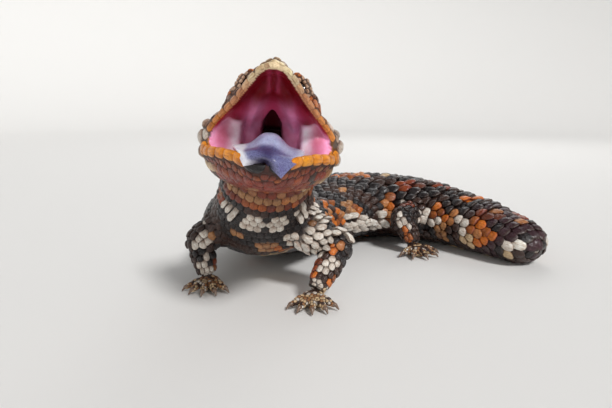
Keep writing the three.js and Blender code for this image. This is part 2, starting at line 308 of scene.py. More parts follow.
def upper_surface(station, angle, inset=0.0):
    """Points on the upper head. The angle is 0 on the crown and 90 at the animal's left lip."""
    values = smooth(UPPER_STATIONS, station)
    turn = np.radians(angle)
    over = np.cos(turn)
    narrow = 1 - CROWN_NARROWING * np.maximum(over, 0)
    across = np.sin(turn) * (values[:, 1] - inset) * narrow
    above = np.where(over > 0, over * (values[:, 2] - inset), over * (UPPER_LIP_BELOW - inset / 2))
    return in_jaw(UPPER, values[:, 0], across, above)


def lower_surface(station, angle, inset=0.0):
    """Points on the lower jaw. The angle is 0 below the chin and 90 at the animal's left lip."""
    values = smooth(LOWER_STATIONS, station)
    turn = np.radians(angle)
    down = np.cos(turn)
    full = np.sign(down) * np.abs(down) ** CHIN_SQUARENESS
    across = np.sin(turn) * (values[:, 1] - inset)
    below = np.where(down > 0, full * (values[:, 2] - inset), full * (LOWER_LIP_ABOVE - inset / 2))
    arch = step((values[:, 0] - 4) / 26) * (1 - step((values[:, 0] - 33) / 7))
    lift = LOWER_LIP_ARCH * arch * step(1 - down)
    return in_jaw(LOWER, values[:, 0], across, lift - below)


def leg_path(leg):
    """Hip, knee and ankle with a point between each two, and the radius at each."""
    hip, knee, ankle = (np.array(leg[name], float) for name in ("hip", "knee", "ankle"))
    return np.array([hip, (hip + knee) / 2, knee, (knee + ankle) / 2, ankle])


def leg_surface(leg, station, angle, inset=0.0):
    """Points on a leg, with stations 0 at the hip, 2 at the knee and 4 at the ankle."""
    path = leg_path(leg)
    station = np.clip(station, 0, 4)
    above, side = curve_axes(path, station, LEVEL_LINE)
    radius = smooth([[r] for r in leg["radii"]], station)[:, 0] - inset
    turn = np.radians(angle)
    return (smooth(path, station) + side * (np.sin(turn) * radius)[:, None]
            + above * (np.cos(turn) * radius)[:, None])


def toe_path(leg, index):
    """Points along a toe, from inside the palm to the root of the claw and to its tip."""
    turn = math.radians(leg["heading"] + leg["spread"] * (index - (TOE_COUNT - 1) / 2))
    forward = np.array([math.cos(turn), math.sin(turn), 0])
    foot = np.array([*leg["foot"], 0.0])
    start = leg["palm"] * TOE_START
    end = leg["palm"] * TOE_ROOT + TOE_LENGTH
    reach = [start, (start + end) / 2, end, end + CLAW_LENGTH / 2, end + CLAW_LENGTH]
    return np.array([foot + forward * r + UP * h for r, h in zip(reach, TOE_HEIGHTS)])


def tube(path, radii, sides=16, rings=20, top=UP):
    """A closed round tube along the smooth curve through path."""
    at = np.linspace(0, len(path) - 1, rings)
    centres = smooth(path, at)
    above, side = curve_axes(path, at, top)
    radius = smooth([[r] for r in radii], at)
    turn = np.linspace(0, 2 * math.pi, sides, endpoint=False)
    ring = side[:, None] * np.sin(turn)[None, :, None] + above[:, None] * np.cos(turn)[None, :, None]
    return loft(centres[:, None] + ring * radius[:, None])


def ring_quads(index):
    """Quads between rows of point numbers, where each row goes round in a ring."""
    right = np.roll(index, -1, axis=1)
    return np.stack([index[:-1], index[1:], right[1:], right[:-1]], -1).reshape(-1, 4)


def loft(rings):
    """A closed mesh through rings of points: points, triangles and quads."""
    count, sides = rings.shape[:2]
    points = np.vstack([rings.reshape(-1, 3), rings[0].mean(0), rings[-1].mean(0)])
    index = np.arange(count * sides).reshape(count, sides)
    right = np.roll(index, -1, axis=1)
    quads = np.stack([index[:-1], right[:-1], right[1:], index[1:]], -1).reshape(-1, 4)
    start = np.stack([np.full(sides, count * sides), right[0], index[0]], 1)
    end = np.stack([np.full(sides, count * sides + 1), index[-1], right[-1]], 1)
    triangles = np.vstack([start, end])
    a, b, c = (points[triangles[:, k]] - points[0] for k in range(3))
    e, f, g, h = (points[quads[:, k]] - points[0] for k in range(4))
    volume = (np.cross(a, b) * c).sum() + (np.cross(e, f) * g).sum() + (np.cross(e, g) * h).sum()
    if volume < 0:
        triangles, quads = triangles[:, ::-1], quads[:, ::-1]
    return points, triangles, quads


def swept(surface, last, rings, sides):
    """A closed mesh of a surface given by station and angle."""
    turn = np.linspace(0, 360, sides, endpoint=False)
    station, angle = np.meshgrid(np.linspace(0, last, rings), turn, indexing="ij")
    return loft(surface(station.ravel(), angle.ravel()).reshape(rings, sides, 3))


def ball(centre, radii, sides=20, rings=12):
    """A closed round ball, or one with a radius for each axis."""
    around = np.linspace(0, 2 * math.pi, sides, endpoint=False)
    polar, turn = np.meshgrid(np.linspace(0.02, math.pi - 0.02, rings), around, indexing="ij")
    shape = np.stack([np.sin(polar) * np.cos(turn), np.sin(polar) * np.sin(turn), np.cos(polar)], -1)
    return loft(np.asarray(centre, float) + shape * np.asarray(radii, float))


# The field: signed distance to the skin, negative inside

def blend_min(a, b, soft):
    """The lesser of two distances, rounded where they are less than soft apart."""
    overlap = np.maximum(soft - np.abs(a - b), 0) / soft
    return np.minimum(a, b) - overlap * overlap * soft / 4


def blend_max(a, b, soft):
    """The greater of two distances, rounded in the same way."""
    return -blend_min(-a, -b, soft)


def index_box(low, high):
    """The voxels between two corners, as slices."""
    first = np.clip(np.floor((np.asarray(low) - GRID_LOW) / VOXEL).astype(int), 0, GRID_SHAPE)
    last = np.clip(np.ceil((np.asarray(high) - GRID_LOW) / VOXEL).astype(int) + 1, 0, GRID_SHAPE)
    return tuple(slice(a, b) for a, b in zip(first, last))


def box_points(box):
    """Places of the voxels of a box."""
    axes = [GRID_LOW[i] + VOXEL * np.arange(box[i].start, box[i].stop) for i in range(3)]
    return np.stack(np.meshgrid(*axes, indexing="ij"), -1)


def mesh_distance(mesh, box):
    """Signed distance to a closed mesh at the voxels of a box."""
    points, triangles, quads = mesh
    grid = openvdb.FloatGrid.createLevelSetFromPolygons(
        (points - GRID_LOW).astype("f4"), triangles=triangles.astype("u4"), quads=quads.astype("u4"),
        transform=openvdb.createLinearTransform(VOXEL), halfWidth=float(BAND))
    values = np.empty([s.stop - s.start for s in box], "f4")
    grid.copyToArray(values, ijk=tuple(s.start for s in box))
    return values


def add_mesh(field, mesh, soft):
    """Joins a closed mesh to the field, with a soft seam."""
    margin = FAR + VOXEL
    box = index_box(mesh[0].min(0) - margin, mesh[0].max(0) + margin)
    there = field[box]
    values = mesh_distance(mesh, box)
    field[box] = np.where(values < FAR * 0.999, blend_min(there, values, soft), there)


def ellipsoid_distance(place, centre, radii):
    """Distance to an ellipsoid in a jaw's axes, good near its surface."""
    scaled = [(p - c) / r for p, c, r in zip(place, centre, radii)]
    size = np.sqrt(sum(s * s for s in scaled))
    pull = np.sqrt(sum((s / r) ** 2 for s, r in zip(scaled, radii)))
    return size * (size - 1) / np.maximum(pull, 1e-6)


class Lips:
    """Half width of a jaw at its lips, for the outline of the mouth."""

    def __init__(self, stations):
        rows = smooth(stations, np.linspace(0, len(stations) - 1, 300))
        order = np.argsort(rows[:, 0])
        self.along, self.width = rows[order, 0], rows[order, 1]
        self.slope = np.gradient(self.width, self.along)

    def outside(self, along, across, inset):
        """Distance outside the outline that lies inset from the lips."""
        width = np.interp(along, self.along, self.width) - inset
        slope = np.interp(along, self.along, self.slope)
        return (np.abs(across) - width) / np.sqrt(1 + slope**2)


UPPER_LIPS = Lips(UPPER_STATIONS)
LOWER_LIPS = Lips(LOWER_STATIONS)


def choana_width(along):
    """Half width of the slit in the palate behind the nostrils."""
    return np.interp(along, [2, 8, 16, 17], [4.0, 3.5, 0.5, 0])


def fold_across(along):
    """Where the long fold on each side of the palate lies."""
    return np.interp(along, [0, 8, 16, 26, 34], [9.6, 9.0, 7.2, 4.4, 2.4])


def palate_height(along, across):
    """Height of the palate above the upper lips."""
    side = np.abs(across)
    vault = np.interp(along, [-12, 0, 12, 22, 32, 40, 44], [8, 7.6, 6.6, 5.6, 4.4, 3, 1])
    walls = step(-UPPER_LIPS.outside(along, across, UPPER_LIP_WIDTH - 0.6) / 6)
    fold = 2.4 * bump(side, fold_across(along), 2.3) * step((38 - along) / 20)
    keel = 1.3 * bump(across, 0, 0.9) * step((along - 28) / 4) * step((44 - along) / 4)
    cup = 1.0 * bump(side, 3.6, 2.0) * step((along - 28) / 4) * step((42 - along) / 4)
    choana = 4.5 * step((choana_width(along) - side) / 1.3 + 0.5) * step((17.5 - along) / 2)
    pocket = 3.5 * bump(along, 14, 5) * bump(side, 13.2, 1.9)
    return vault * walls - fold - keel + cup + choana + pocket - 0.6


def floor_height(along, across):
    """Height of the floor of the mouth above the lower lips."""
    walls = step(-LOWER_LIPS.outside(along, across, LOWER_LIP_WIDTH - 0.6) / 5)
    return -5.5 * walls + 0.4


def in_mouth(points):
    """Distance outside the room inside the mouth, whose walls are lined and bare of scales."""
    along, across, above, fore, beside, over = in_both_jaws(points)
    roof = np.maximum(UPPER_LIPS.outside(along, across, UPPER_LIP_WIDTH - 0.5),
                      above - palate_height(along, across) - 1.5)
    base = np.maximum(LOWER_LIPS.outside(fore, beside, LOWER_LIP_WIDTH - 0.8),
                      floor_height(fore, beside) - 1.5 - over)
    room = np.where(above + over > 0, roof, base)
    return np.maximum(room, -16 - (along + fore) / 2)


def open_mouth(points):
    """As in_mouth, for points of the skin, with the outer sides of the cheeks counted as outside."""
    along, across, _, fore, _, _ = in_both_jaws(points)
    _, slope = distance_and_slope(points)
    sideways = (unit(slope) @ UPPER[1]) * np.sign(across)
    outer = (np.abs(across) > 15) & (along + fore < 6) & (sideways > 0.2)
    return np.where(outer, 3.0, in_mouth(points))


# Cheek, ridge and pillar beside the throat, halfway between the jaws: centre, radii and soft seam
CHEEK_FOLDS = (
    ((4.6, 17.6, 0.0), (6.5, 5.6, 12), 2.0),
    ((5.6, 12.9, -0.5), (3.2, 1.5, 9), 3.0),
    ((-2.5, 9.0, 0), (5, 4.2, 12), 3.0),
)


def hollow_mouth(field):
    """Cuts the mouth out of the jaws, then adds the folds of the cheeks."""
    box = index_box([-34, -84, 44], [46, -4, 110])
    points = box_points(box)
    along, across, above, fore, beside, over = in_both_jaws(points)
    under_lips = UPPER_LIPS.outside(along, across, UPPER_LIP_WIDTH)
    roof = np.maximum(under_lips, above - palate_height(along, across))
    roof = np.maximum(roof, -(above + over) - 2)
    over_lips = LOWER_LIPS.outside(fore, beside, LOWER_LIP_WIDTH)
    base = np.maximum(over_lips, floor_height(fore, beside) - over)
    base = np.maximum(base, above + over - 2)
    behind = -6 - (along + fore) / 2
    room = np.maximum(np.minimum(roof, base), behind)
    throat = ellipsoid_distance((along, across, above), (0, 0, -4), (14, 9, 8))
    room = blend_min(room, throat, 3.0)
    values = blend_max(field[box], -room, 1.6)
    for side in (-1, 1):
        place = ((along + fore) / 2, across * side, (above + over) / 2)
        for centre, radii, soft in CHEEK_FOLDS:
            values = blend_min(values, ellipsoid_distance(place, centre, radii), soft)
    field[box] = values


def add_lips(field):
    """The rounded edges of the lips."""
    for surface, first, last, angle, inset, radii in (
            (upper_surface, 1.6, 8.9, 88, 1.7, (1.3, 1.5, 1.4, 1.1)),
            (lower_surface, 1.3, 6.9, 84, 2.2, (1.6, 2.0, 1.7, 1.2))):
        station = np.linspace(first, last, 14)
        radius = np.interp(station, np.linspace(first, last, len(radii)), radii)
        for side in (-1, 1):
            path = surface(station, np.full(14, angle * side), inset)
            add_mesh(field, tube(path, radius, sides=14, rings=60), 1.4)


def eye_axes(side):
    """Centre of an eye and the way it looks out."""
    outward = unit(np.array([0.22, 0.93 * side, 0.3]) @ UPPER)
    return on_head(EYE_PLACE, side), outward


def shape_head(field):
    """Brows, lids, nostrils and ear openings."""
    box = index_box([-34, -84, 60], [46, -20, 110])
    points = box_points(box)
    place = jaw_place(UPPER, points)
    values = field[box]
    for side in (-1, 1):
        mirrored = (place[0], place[1] * side, place[2])
        brow = ellipsoid_distance(mirrored, (25, 8.2, 10.4), (7.5, 3.6, 2.6))
        cheekbone = ellipsoid_distance(mirrored, (19, 13.0, 5.5), (9, 4.6, 4.5))
        values = blend_min(values, brow, 2.5)
        values = blend_min(values, cheekbone, 3.0)
        centre, outward = eye_axes(side)
        offset = points - centre
        distance = np.linalg.norm(offset, axis=-1)
        depth = offset @ outward
        radial = np.sqrt(np.maximum(distance**2 - depth**2, 0))
        values = blend_max(values, -(distance - EYE_RADIUS - 0.1), 0.5)
        lids = np.hypot(radial - 3.1, depth - 2.5) - 0.95
        values = blend_min(values, lids, 0.9)
        nostril = ellipsoid_distance(mirrored, NOSTRIL, (1.3, 1.4, 0.9))
        values = blend_max(values, -nostril, 0.6)
        ear = ellipsoid_distance(mirrored, EAR, (1.8, 2.6, 2.8))
        values = blend_max(values, -ear, 0.8)
    field[box] = values


def add_jowl_bulges(field):
    """The bulge at each corner of the mouth."""
    place, radii = JOWL
    shape, triangles, quads = ball((0, 0, 0), np.array(radii) - COAT_HEAD)
    for side in (-1, 1):
        add_mesh(field, (on_head(place, side) + shape @ UPPER, triangles, quads), 2.5)


def add_flesh_of_legs(field):
    """Thigh, shin, knee, palm and toes of each leg."""
    palm_depth = PALM_HEIGHT - PALM_CENTRE - COAT_FOOT
    for leg in LEGS.values():
        path = leg_path(leg)
        radii = np.array(leg["radii"]) - COAT_LEG
        add_mesh(field, tube(path[:3], radii[:3], top=LEVEL_LINE), 4.0)
        add_mesh(field, tube(path[2:], radii[2:], top=LEVEL_LINE), 2.0)
        add_mesh(field, ball(path[2], [radii[2]] * 3), 1.5)
        palm = leg["palm"] - COAT_FOOT
        add_mesh(field, ball((*leg["foot"], PALM_CENTRE), (palm, palm, palm_depth)), 1.5)
        for index in range(TOE_COUNT):
            toe_radii = np.array(TOE_RADII) - COAT_FOOT
            add_mesh(field, tube(toe_path(leg, index)[:4], toe_radii, sides=12, rings=14), 0.8)


def make_field():
    """The whole animal under its coat: body and jaws first, then the mouth, the face and the legs."""
    field = np.full(GRID_SHAPE, FAR, "f4")
    body = swept(lambda s, a: body_surface(s, a, COAT_BACK, COAT_BELLY), LAST_STATION - 0.01, 160, 64)
    upper = swept(lambda s, a: upper_surface(s, a, COAT_HEAD), len(UPPER_STATIONS) - 1, 60, 56)
    lower = swept(lambda s, a: lower_surface(s, a, COAT_HEAD), len(LOWER_STATIONS) - 1, 60, 56)
    add_mesh(field, body, 1.0)
    add_mesh(field, upper, 4.0)
    add_mesh(field, lower, 2.5)
    add_jowl_bulges(field)
    hollow_mouth(field)
    add_lips(field)
    shape_head(field)
    add_flesh_of_legs(field)
    height = (GRID_LOW[2] + VOXEL * np.arange(GRID_SHAPE[2])).astype("f4")
    return np.maximum(field, SKIN_ABOVE_FLOOR - height)


field = make_field()


def distance_and_slope(points):
    """Field value and its gradient at points, by linear interpolation."""
    at = (points - GRID_LOW) / VOXEL
    at = np.clip(at, 0.001, np.array(GRID_SHAPE) - 1.001)
    first = at.astype(int)
    x, y, z = (at - first).T
    i, j, k = first.T
    c = [[[field[i + a, j + b, k + d] for d in (0, 1)] for b in (0, 1)] for a in (0, 1)]
    near = [[c[a][b][0] * (1 - z) + c[a][b][1] * z for b in (0, 1)] for a in (0, 1)]
    flat = [near[a][0] * (1 - y) + near[a][1] * y for a in (0, 1)]
    value = flat[0] * (1 - x) + flat[1] * x
    gx = flat[1] - flat[0]
    gy = (near[0][1] - near[0][0]) * (1 - x) + (near[1][1] - near[1][0]) * x
    rise = [[c[a][b][1] - c[a][b][0] for b in (0, 1)] for a in (0, 1)]
    gz = (rise[0][0] * (1 - y) + rise[0][1] * y) * (1 - x) + (rise[1][0] * (1 - y) + rise[1][1] * y) * x
    return value, np.stack([gx, gy, gz], -1) / VOXEL


def onto_skin(points, rounds=3):
    """Points moved to the skin, and the skin's normals there."""
    for _ in range(rounds):
        value, slope = distance_and_slope(points)
        size = np.maximum((slope**2).sum(-1), 0.25)
        points = points - slope * (np.clip(value, -2, 2) / size)[:, None]
    _, slope = distance_and_slope(points)
    return points, unit(slope)


def skin_mesh():
    """Points and quads where the field is zero."""
    grid = openvdb.FloatGrid(FAR)
    grid.copyFromArray(np.clip(field, -FAR, FAR))
    points, quads = grid.convertToQuads(0.0)
    return points * VOXEL + GRID_LOW, quads.astype(int)


# Blender objects

# What is added to a place here to come to the row frame, read off the left eye's solid
ORIGIN = np.array(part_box("eye_left")).mean(0) * 1000 - eye_axes(1)[0]


def put_in_scene(name, data):
    """An object for a mesh, a lamp or a camera."""
    made = bpy.data.objects.new(name, data)
    bpy.context.scene.collection.objects.link(made)
    return made


def make_object(name, points, faces):
    """An object from points in millimetres and lists of faces that have the same number of corners."""
    mesh = bpy.data.meshes.new(name)
    faces = [f for f in faces if len(f)]
    corners = np.concatenate([f.ravel() for f in faces])
    totals = np.concatenate([np.full(len(f), f.shape[1]) for f in faces])
    mesh.vertices.add(len(points))
    mesh.vertices.foreach_set("co", ((points + ORIGIN) / 1000).astype("f4").ravel())
    mesh.loops.add(len(corners))
    mesh.loops.foreach_set("vertex_index", corners.astype("i4"))
    mesh.polygons.add(len(totals))
    mesh.polygons.foreach_set("loop_start", (np.cumsum(totals) - totals).astype("i4"))
    mesh.polygons.foreach_set("use_smooth", np.full(len(totals), True))
    mesh.update(calc_edges=True)
    mesh.validate()
    made = put_in_scene(name, mesh)
    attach(made, "root")
    return made


def set_tint(made, colours, extra=1.0):
    """The tint attribute: a colour for each point, and a fourth number for the material's own use."""
    values = np.column_stack([colours, np.broadcast_to(extra, len(colours))])
    attribute = made.data.color_attributes.new("tint", "FLOAT_COLOR", "POINT")
    attribute.data.foreach_set("color", values.astype("f4").ravel())


def set_spot(made, places):
    """The spot attribute: how far along and across its scale a point is, and the scale's own number."""
    attribute = made.data.attributes.new("spot", "FLOAT_VECTOR", "POINT")
    attribute.data.foreach_set("vector", places.astype("f4").ravel())


def set_bake_map(made, places):
    """The OFBake map from a place for each point."""
    layer = made.data.uv_layers.new(name="OFBake")
    corners = np.empty(len(made.data.loops), "i4")
    made.data.loops.foreach_get("vertex_index", corners)
    layer.data.foreach_set("uv", places[corners].astype("f4").ravel())


# Materials

class Look:
    """A material in the making, with its colour so far, which starts as the tint."""

    def __init__(self, name, roughness, coat=0.0, coat_roughness=0.1, subsurface=0.0, specular=0.5):
        self.material = bpy.data.materials.new(name)
        self.material.use_nodes = True
        self.tree = self.material.node_tree
        self.shader = self.tree.nodes["Principled BSDF"]
        self.feed(self.shader, {
            "Roughness": roughness, "Coat Weight": coat, "Coat Roughness": coat_roughness,
            "Subsurface Weight": subsurface, "Subsurface Radius": (1.0, 0.35, 0.25),
            "Subsurface Scale": 0.0015, "Specular IOR Level": specular,
        })
        self.place = self.node("ShaderNodeTexCoord").outputs["Object"]
        tint = self.node("ShaderNodeAttribute", attribute_name="tint")
        self.colour = tint.outputs["Color"]
        self.extra = tint.outputs["Alpha"]

    def feed(self, node, inputs):
        """Sets inputs of a node to values, or links them to outputs."""
        for name, value in inputs.items():
            if isinstance(value, bpy.types.NodeSocket):
                self.tree.links.new(value, node.inputs[name])
            else:
                node.inputs[name].default_value = value

    def node(self, kind, inputs=None, **settings):
        """A new node with its inputs fed and its other settings set."""
        node = self.tree.nodes.new(kind)
        for name, value in settings.items():
            setattr(node, name, value)
        self.feed(node, inputs or {})
        return node

    def noise(self, size, detail=3.0):
        """Noise with swells of a size in millimetres."""
        inputs = {"Vector": self.place, "Scale": 1000 / size, "Detail": detail}
        return self.node("ShaderNodeTexNoise", inputs).outputs["Fac"]

    def cells(self, size):
        """Distance from the middle of cells of a size in millimetres."""
        inputs = {"Vector": self.place, "Scale": 1000 / size, "Detail": 3.0}
        return self.node("ShaderNodeTexVoronoi", inputs).outputs["Distance"]

    def remap(self, value, span, ends):
        """A value whose span is stretched to other ends."""
        return self.node("ShaderNodeMapRange", {
            "Value": value, "From Min": span[0], "From Max": span[1], "To Min": ends[0], "To Max": ends[1],
        }).outputs["Result"]

    def stain(self, value, span, ends, stain, kind="MULTIPLY", by_extra=False):
        """Mixes a stain into the colour, by a share that goes between its ends over a value's span."""
        share = self.remap(value, span, ends)
        if by_extra:
            product = self.node("ShaderNodeMath", {0: share, 1: self.extra}, operation="MULTIPLY")
            share = product.outputs["Value"]
        inputs = {"A": self.colour, "B": (*stain, 1), "Factor": share}
        self.colour = self.node("ShaderNodeMix", inputs, data_type="RGBA", blend_type=kind).outputs["Result"]
        self.feed(self.shader, {"Base Color": self.colour})

    def bump(self, height, strength, distance, before=None):
        """Bumps of a height in millimetres, over the bumps before them."""
        inputs = {"Height": height, "Strength": strength, "Distance": distance / 1000}
        if before is not None:
            inputs["Normal"] = before
        normal = self.node("ShaderNodeBump", inputs).outputs["Normal"]
        self.feed(self.shader, {"Normal": normal})
        return normal


def scale_material():
    """Horny scales: mottled tint, darker towards the rim, painted shade at the front, a painted highlight on
    the rear edge of dark scales, fine pits and growth lines.
    """
    look = Look("scale_horn", roughness=0.42, coat=0.18, coat_roughness=0.14, specular=0.4)
    spot = look.node("ShaderNodeAttribute", attribute_name="spot").outputs["Vector"]
    run = look.node("ShaderNodeSeparateXYZ", {"Vector": spot}).outputs["X"]
    stretch = look.node("ShaderNodeVectorMath", {0: spot, 1: (1.2, 5.0, 40.0)}, operation="MULTIPLY")
    inputs = {"Vector": stretch.outputs["Vector"], "Scale": 1.6, "Detail": 3.0}
    growth = look.node("ShaderNodeTexNoise", inputs).outputs["Fac"]
    mottle = look.noise(1.4, 4.0)
    grain = look.noise(0.35, 2.0)
    look.stain(mottle, (0.35, 0.7), (0.0, 0.5), (0.66, 0.54, 0.46))
    look.stain(growth, (0.42, 0.66), (0.0, 0.75), (0.55, 0.42, 0.34))
    look.stain(look.noise(3.2, 5.0), (0.52, 0.66), (0.0, 0.45), (0.5, 0.34, 0.26))
    # Darker towards the front of each scale: painted shade where the rear edge of the scale before it
    # overlaps it, partly a browner base of its own.
    look.stain(run, (-0.95, -0.05), (0.8, 0.0), (0.34, 0.22, 0.16))
    look.stain(look.extra, (0.9, 1.0), (0.0, 0.6), (0.3, 0.18, 0.12))
    # Lighter rear edge on dark scales: a painted highlight, partly a pale edge of their own.
    look.stain(run, (0.55, 0.95), (0.0, 0.8), (0.065, 0.042, 0.034), "LIGHTEN")
    look.feed(look.shader, {"Roughness": look.remap(grain, (0.3, 0.8), (0.24, 0.48))})
    pits = look.bump(grain, 0.3, 0.12)
    lines = look.bump(growth, 0.8, 0.45, pits)
    look.bump(mottle, 0.5, 0.4, lines)
    return look.material


def skin_material():
    """Dark, dry skin between the scales."""
    look = Look("skin", roughness=0.6)
    grain = look.noise(0.6, 4.0)
    look.stain(grain, (0.3, 0.7), (0.1, 0.7), (0.55, 0.45, 0.4))
    look.bump(grain, 0.5, 0.2)
    return look.material


def lining_material():
    """Wet pink lining of the mouth, clouded and creased."""
    look = Look("mouth_lining", roughness=0.38, coat=0.1, coat_roughness=0.08, subsurface=0.06, specular=0.12)
    look.stain(look.noise(3.5, 4.0), (0.4, 0.7), (0.0, 0.6), (0.84, 0.5, 0.58))
    look.bump(look.noise(0.9), 0.35, 0.35)
    return look.material


def tongue_material():
    """Blue-grey tongue, finely grained and wet. The tint's fourth number says how grained it is."""
    look = Look("tongue_flesh", roughness=0.3, coat=0.6, coat_roughness=0.07, subsurface=0.04)
    buds = look.cells(0.62)
    look.stain(buds, (0.2, 0.6), (0.0, 0.9), (0.32, 0.31, 0.42), by_extra=True)
    look.stain(look.noise(3.0), (0.45, 0.7), (0.0, 0.5), (0.6, 0.52, 0.75))
    look.stain(look.noise(0.5, 2.0), (0.48, 0.62), (0.0, 0.75), (0.34, 0.34, 0.46), by_extra=True)
    look.bump(look.remap(buds, (0.0, 0.6), (1.0, 0.0)), 0.9, 0.35)
    return look.material


def eye_material():
    """Dark wet eye, faintly flecked."""
    look = Look("eye_wet", roughness=0.12, coat=0.9, coat_roughness=0.03)
    look.stain(look.noise(0.5), (0.35, 0.7), (0.0, 0.7), (0.4, 0.3, 0.25))
    return look.material


def claw_material():
    """Smooth dark horn with faint streaks."""
    look = Look("claw_horn", roughness=0.35, coat=0.2, coat_roughness=0.2)
    streak = look.noise(0.8)
    look.stain(streak, (0.35, 0.7), (0.0, 0.8), (0.5, 0.4, 0.35))
    look.bump(streak, 0.3, 0.1)
    return look.material


# Places of the scales

MAP_WIDTH = 100                       # millimetres of skin across a zone's map
LEG_SCALES = (4.0, 4.0, 3.6, 2.6)     # from the hip to the ankle
TOE_SCALE = 1.7
JOWL_SCALE = 7.4
JOWL_RINGS = ((0, 1), (50, 5), (88, 7))                  # degrees from the jowl's middle, scales
LID_RINGS = ((3.4, 2.9, 1.45), (4.9, 1.6, 1.9))          # radius, height over the eye, scale
LID_OPENING = 2.7
SITE_DEPTH = 1.6                      # how far inside the skin a site may lie before it is dropped
SITE_HEIGHT = 4.5                     # how far outside
SITE_MISS = 0.4                       # how far off the skin a site may still be once settled
RING_SAMPLES = 145
MOST_PICKS = 60000                    # points of the skin that are tried for small scales
COVER = 0.42                          # how far a scale covers the skin, in widths
LINE_SAMPLES = 400
TOE_RANK = 6
FILLER_RANK = 9


class Sites:
    """Scales to be made: place, size, the way they lie, zone and place on their zone's map."""

    def __init__(self):
        self.rows = []

    def add(self, points, ahead, size, zone, rank, u, v, station=0.0, angle=0.0):
        count = len(points)
        row = {"point": points, "lie": ahead, "zone": np.full(count, zone), "rank": np.full(count, rank)}
        numbers = {"size": size, "u": u, "v": v, "station": station, "angle": angle}
        for name, values in numbers.items():
            row[name] = np.broadcast_to(values, count).astype(float)
        self.rows.append(row)

    def merged(self):
        return {key: np.concatenate([row[key] for row in self.rows]) for key in self.rows[0]}


def add_rings(sites, surface, first, last, size, zone, rank, angles=(-180, 180), pace=0.86, lie=1,
              chart=(0, 0, 1, 1)):
    """Rows of scales round a surface, each row set between the scales of the one before.

    The pace is the way to the next row in widths of a scale, and lie is -1 where the scales point
    back along the stations. The chart is the corner and size of the surface's place on the map.
    """
    closed = angles[1] - angles[0] >= 360
    around = np.linspace(*angles, RING_SAMPLES)
    middle = (around[1:] + around[:-1]) / 2
    station, row = first, 0
    while station <= last:
        edge = surface(np.full(RING_SAMPLES, station), around)
        beyond = surface(np.full(RING_SAMPLES, station + 0.02), around)
        sizes = size(station, middle)
        total = running_length(edge, sizes)
        count = max(int(round(total[-1])), 1)
        shift = 0.5 * (row % 2) if closed else 0.25 + 0.5 * (row % 2)
        angle = np.interp((np.arange(count) + shift) * total[-1] / count, total, around)
        points = surface(np.full(count, station), angle)
        ahead = surface(np.full(count, station + 0.05), angle) - points
        u = chart[0] + chart[2] * (station - first) / (last - first)
        v = chart[1] + chart[3] * (angle - angles[0]) / (angles[1] - angles[0])
        sites.add(points, ahead * lie, size(station, angle), zone, rank, u, v, station, angle)
        rate = np.median(np.linalg.norm(beyond - edge, axis=1)) / 0.02
        station += pace * float(np.median(sizes)) / max(rate, 1e-3)
        row += 1


def body_size(station, angle):
    """Width of the scales of the body: biggest on the back, smallest on the flanks of the neck."""
    back = np.interp(station, [0, 2, 3.5, 5, 8, 10, 12, 13], [4.2, 5.0, 6.8, 8.2, 8.2, 7.8, 7.2, 6.6])
    side = np.interp(station, [0, 2, 3.5, 5, 8, 10, 12, 13], [3.3, 3.1, 4.0, 5.0, 5.4, 5.4, 6.0, 6.0])
    belly = np.interp(station, [0, 1, 2.4, 3.4, 5, 8, 10, 13], [4.4, 4.2, 3.5, 4.2, 5.6, 5.8, 5.4, 4.6])
    turn = np.abs(angle)
    upper = back + (side - back) * step((turn - 30) / 50)
    lower = side + (belly - side) * step((turn - 110) / 35)
    return np.where(turn < 95, upper, lower)


def head_size(station, angle):
    """Width of the head's scales: biggest on the crown, smaller at its sides and on the snout."""
    crown = np.interp(station, [0, 3, 6, 9], [5.4, 5.6, 4.6, 3.2])
    return crown - 1.1 * step((np.abs(angle) - 35) / 30)


def add_body(sites):
    """Rings of scales from the neck to the end of the tail."""
    for zone, first, last in (("neck", 0.15, 3.2), ("trunk", 3.3, 8.9), ("tail", 9.0, 12.97)):
        add_rings(sites, body_surface, first, last, body_size, zone, 4)


def add_head(sites):
    """Shields of the crown, rows of the lower jaw, jowls and the one shield at the snout's tip."""
    add_rings(sites, upper_surface, 0.3, 8.7, head_size, "head", 3, angles=(-84, 84), lie=-1,
              chart=(0, 0.05, 1, 0.9))
    add_jaw_rows(sites)
    add_jowls(sites)
    snout = in_jaw(UPPER, np.array([45.6]), np.array([0.0]), np.array([0.9]))
    sites.add(snout, UPPER[1:2], 6.0, "upper_lip", 0, 0.99, 0.5)


def add_jaw_rows(sites):
    """Rows of scales on the lower jaw, which run beside the lip and round the chin."""
    at = np.linspace(0.3, len(LOWER_STATIONS) - 1.05, 600)
    reach = smooth(LOWER_STATIONS, at)[:, 2]
    for row, slope in enumerate(66 - 11.5 * np.arange(JAW_ROWS)):
        depth = JAW_DEPTH * math.cos(math.radians(slope)) ** CHIN_SQUARENESS
        inside = reach > depth
        angle = np.degrees(np.arccos((depth / reach[inside]) ** (1 / CHIN_SQUARENESS)))
        left, right = (lower_surface(at[inside], angle * side) for side in (1, -1))
        line = np.vstack([left, right[::-1]])
        length = running_length(line)
        count = int(length[-1] / JAW_SCALE)
        wanted = (np.arange(count) + 0.25 + 0.5 * (row % 2)) * length[-1] / count
        points = np.stack([np.interp(wanted, length, line[:, k]) for k in range(3)], -1)
        lie = np.broadcast_to(-LOWER[2] - 0.35 * LOWER[0], points.shape)
        sites.add(points, lie, 4.0, "jaw", 2, wanted / length[-1], (row + 0.5) / JAW_ROWS)


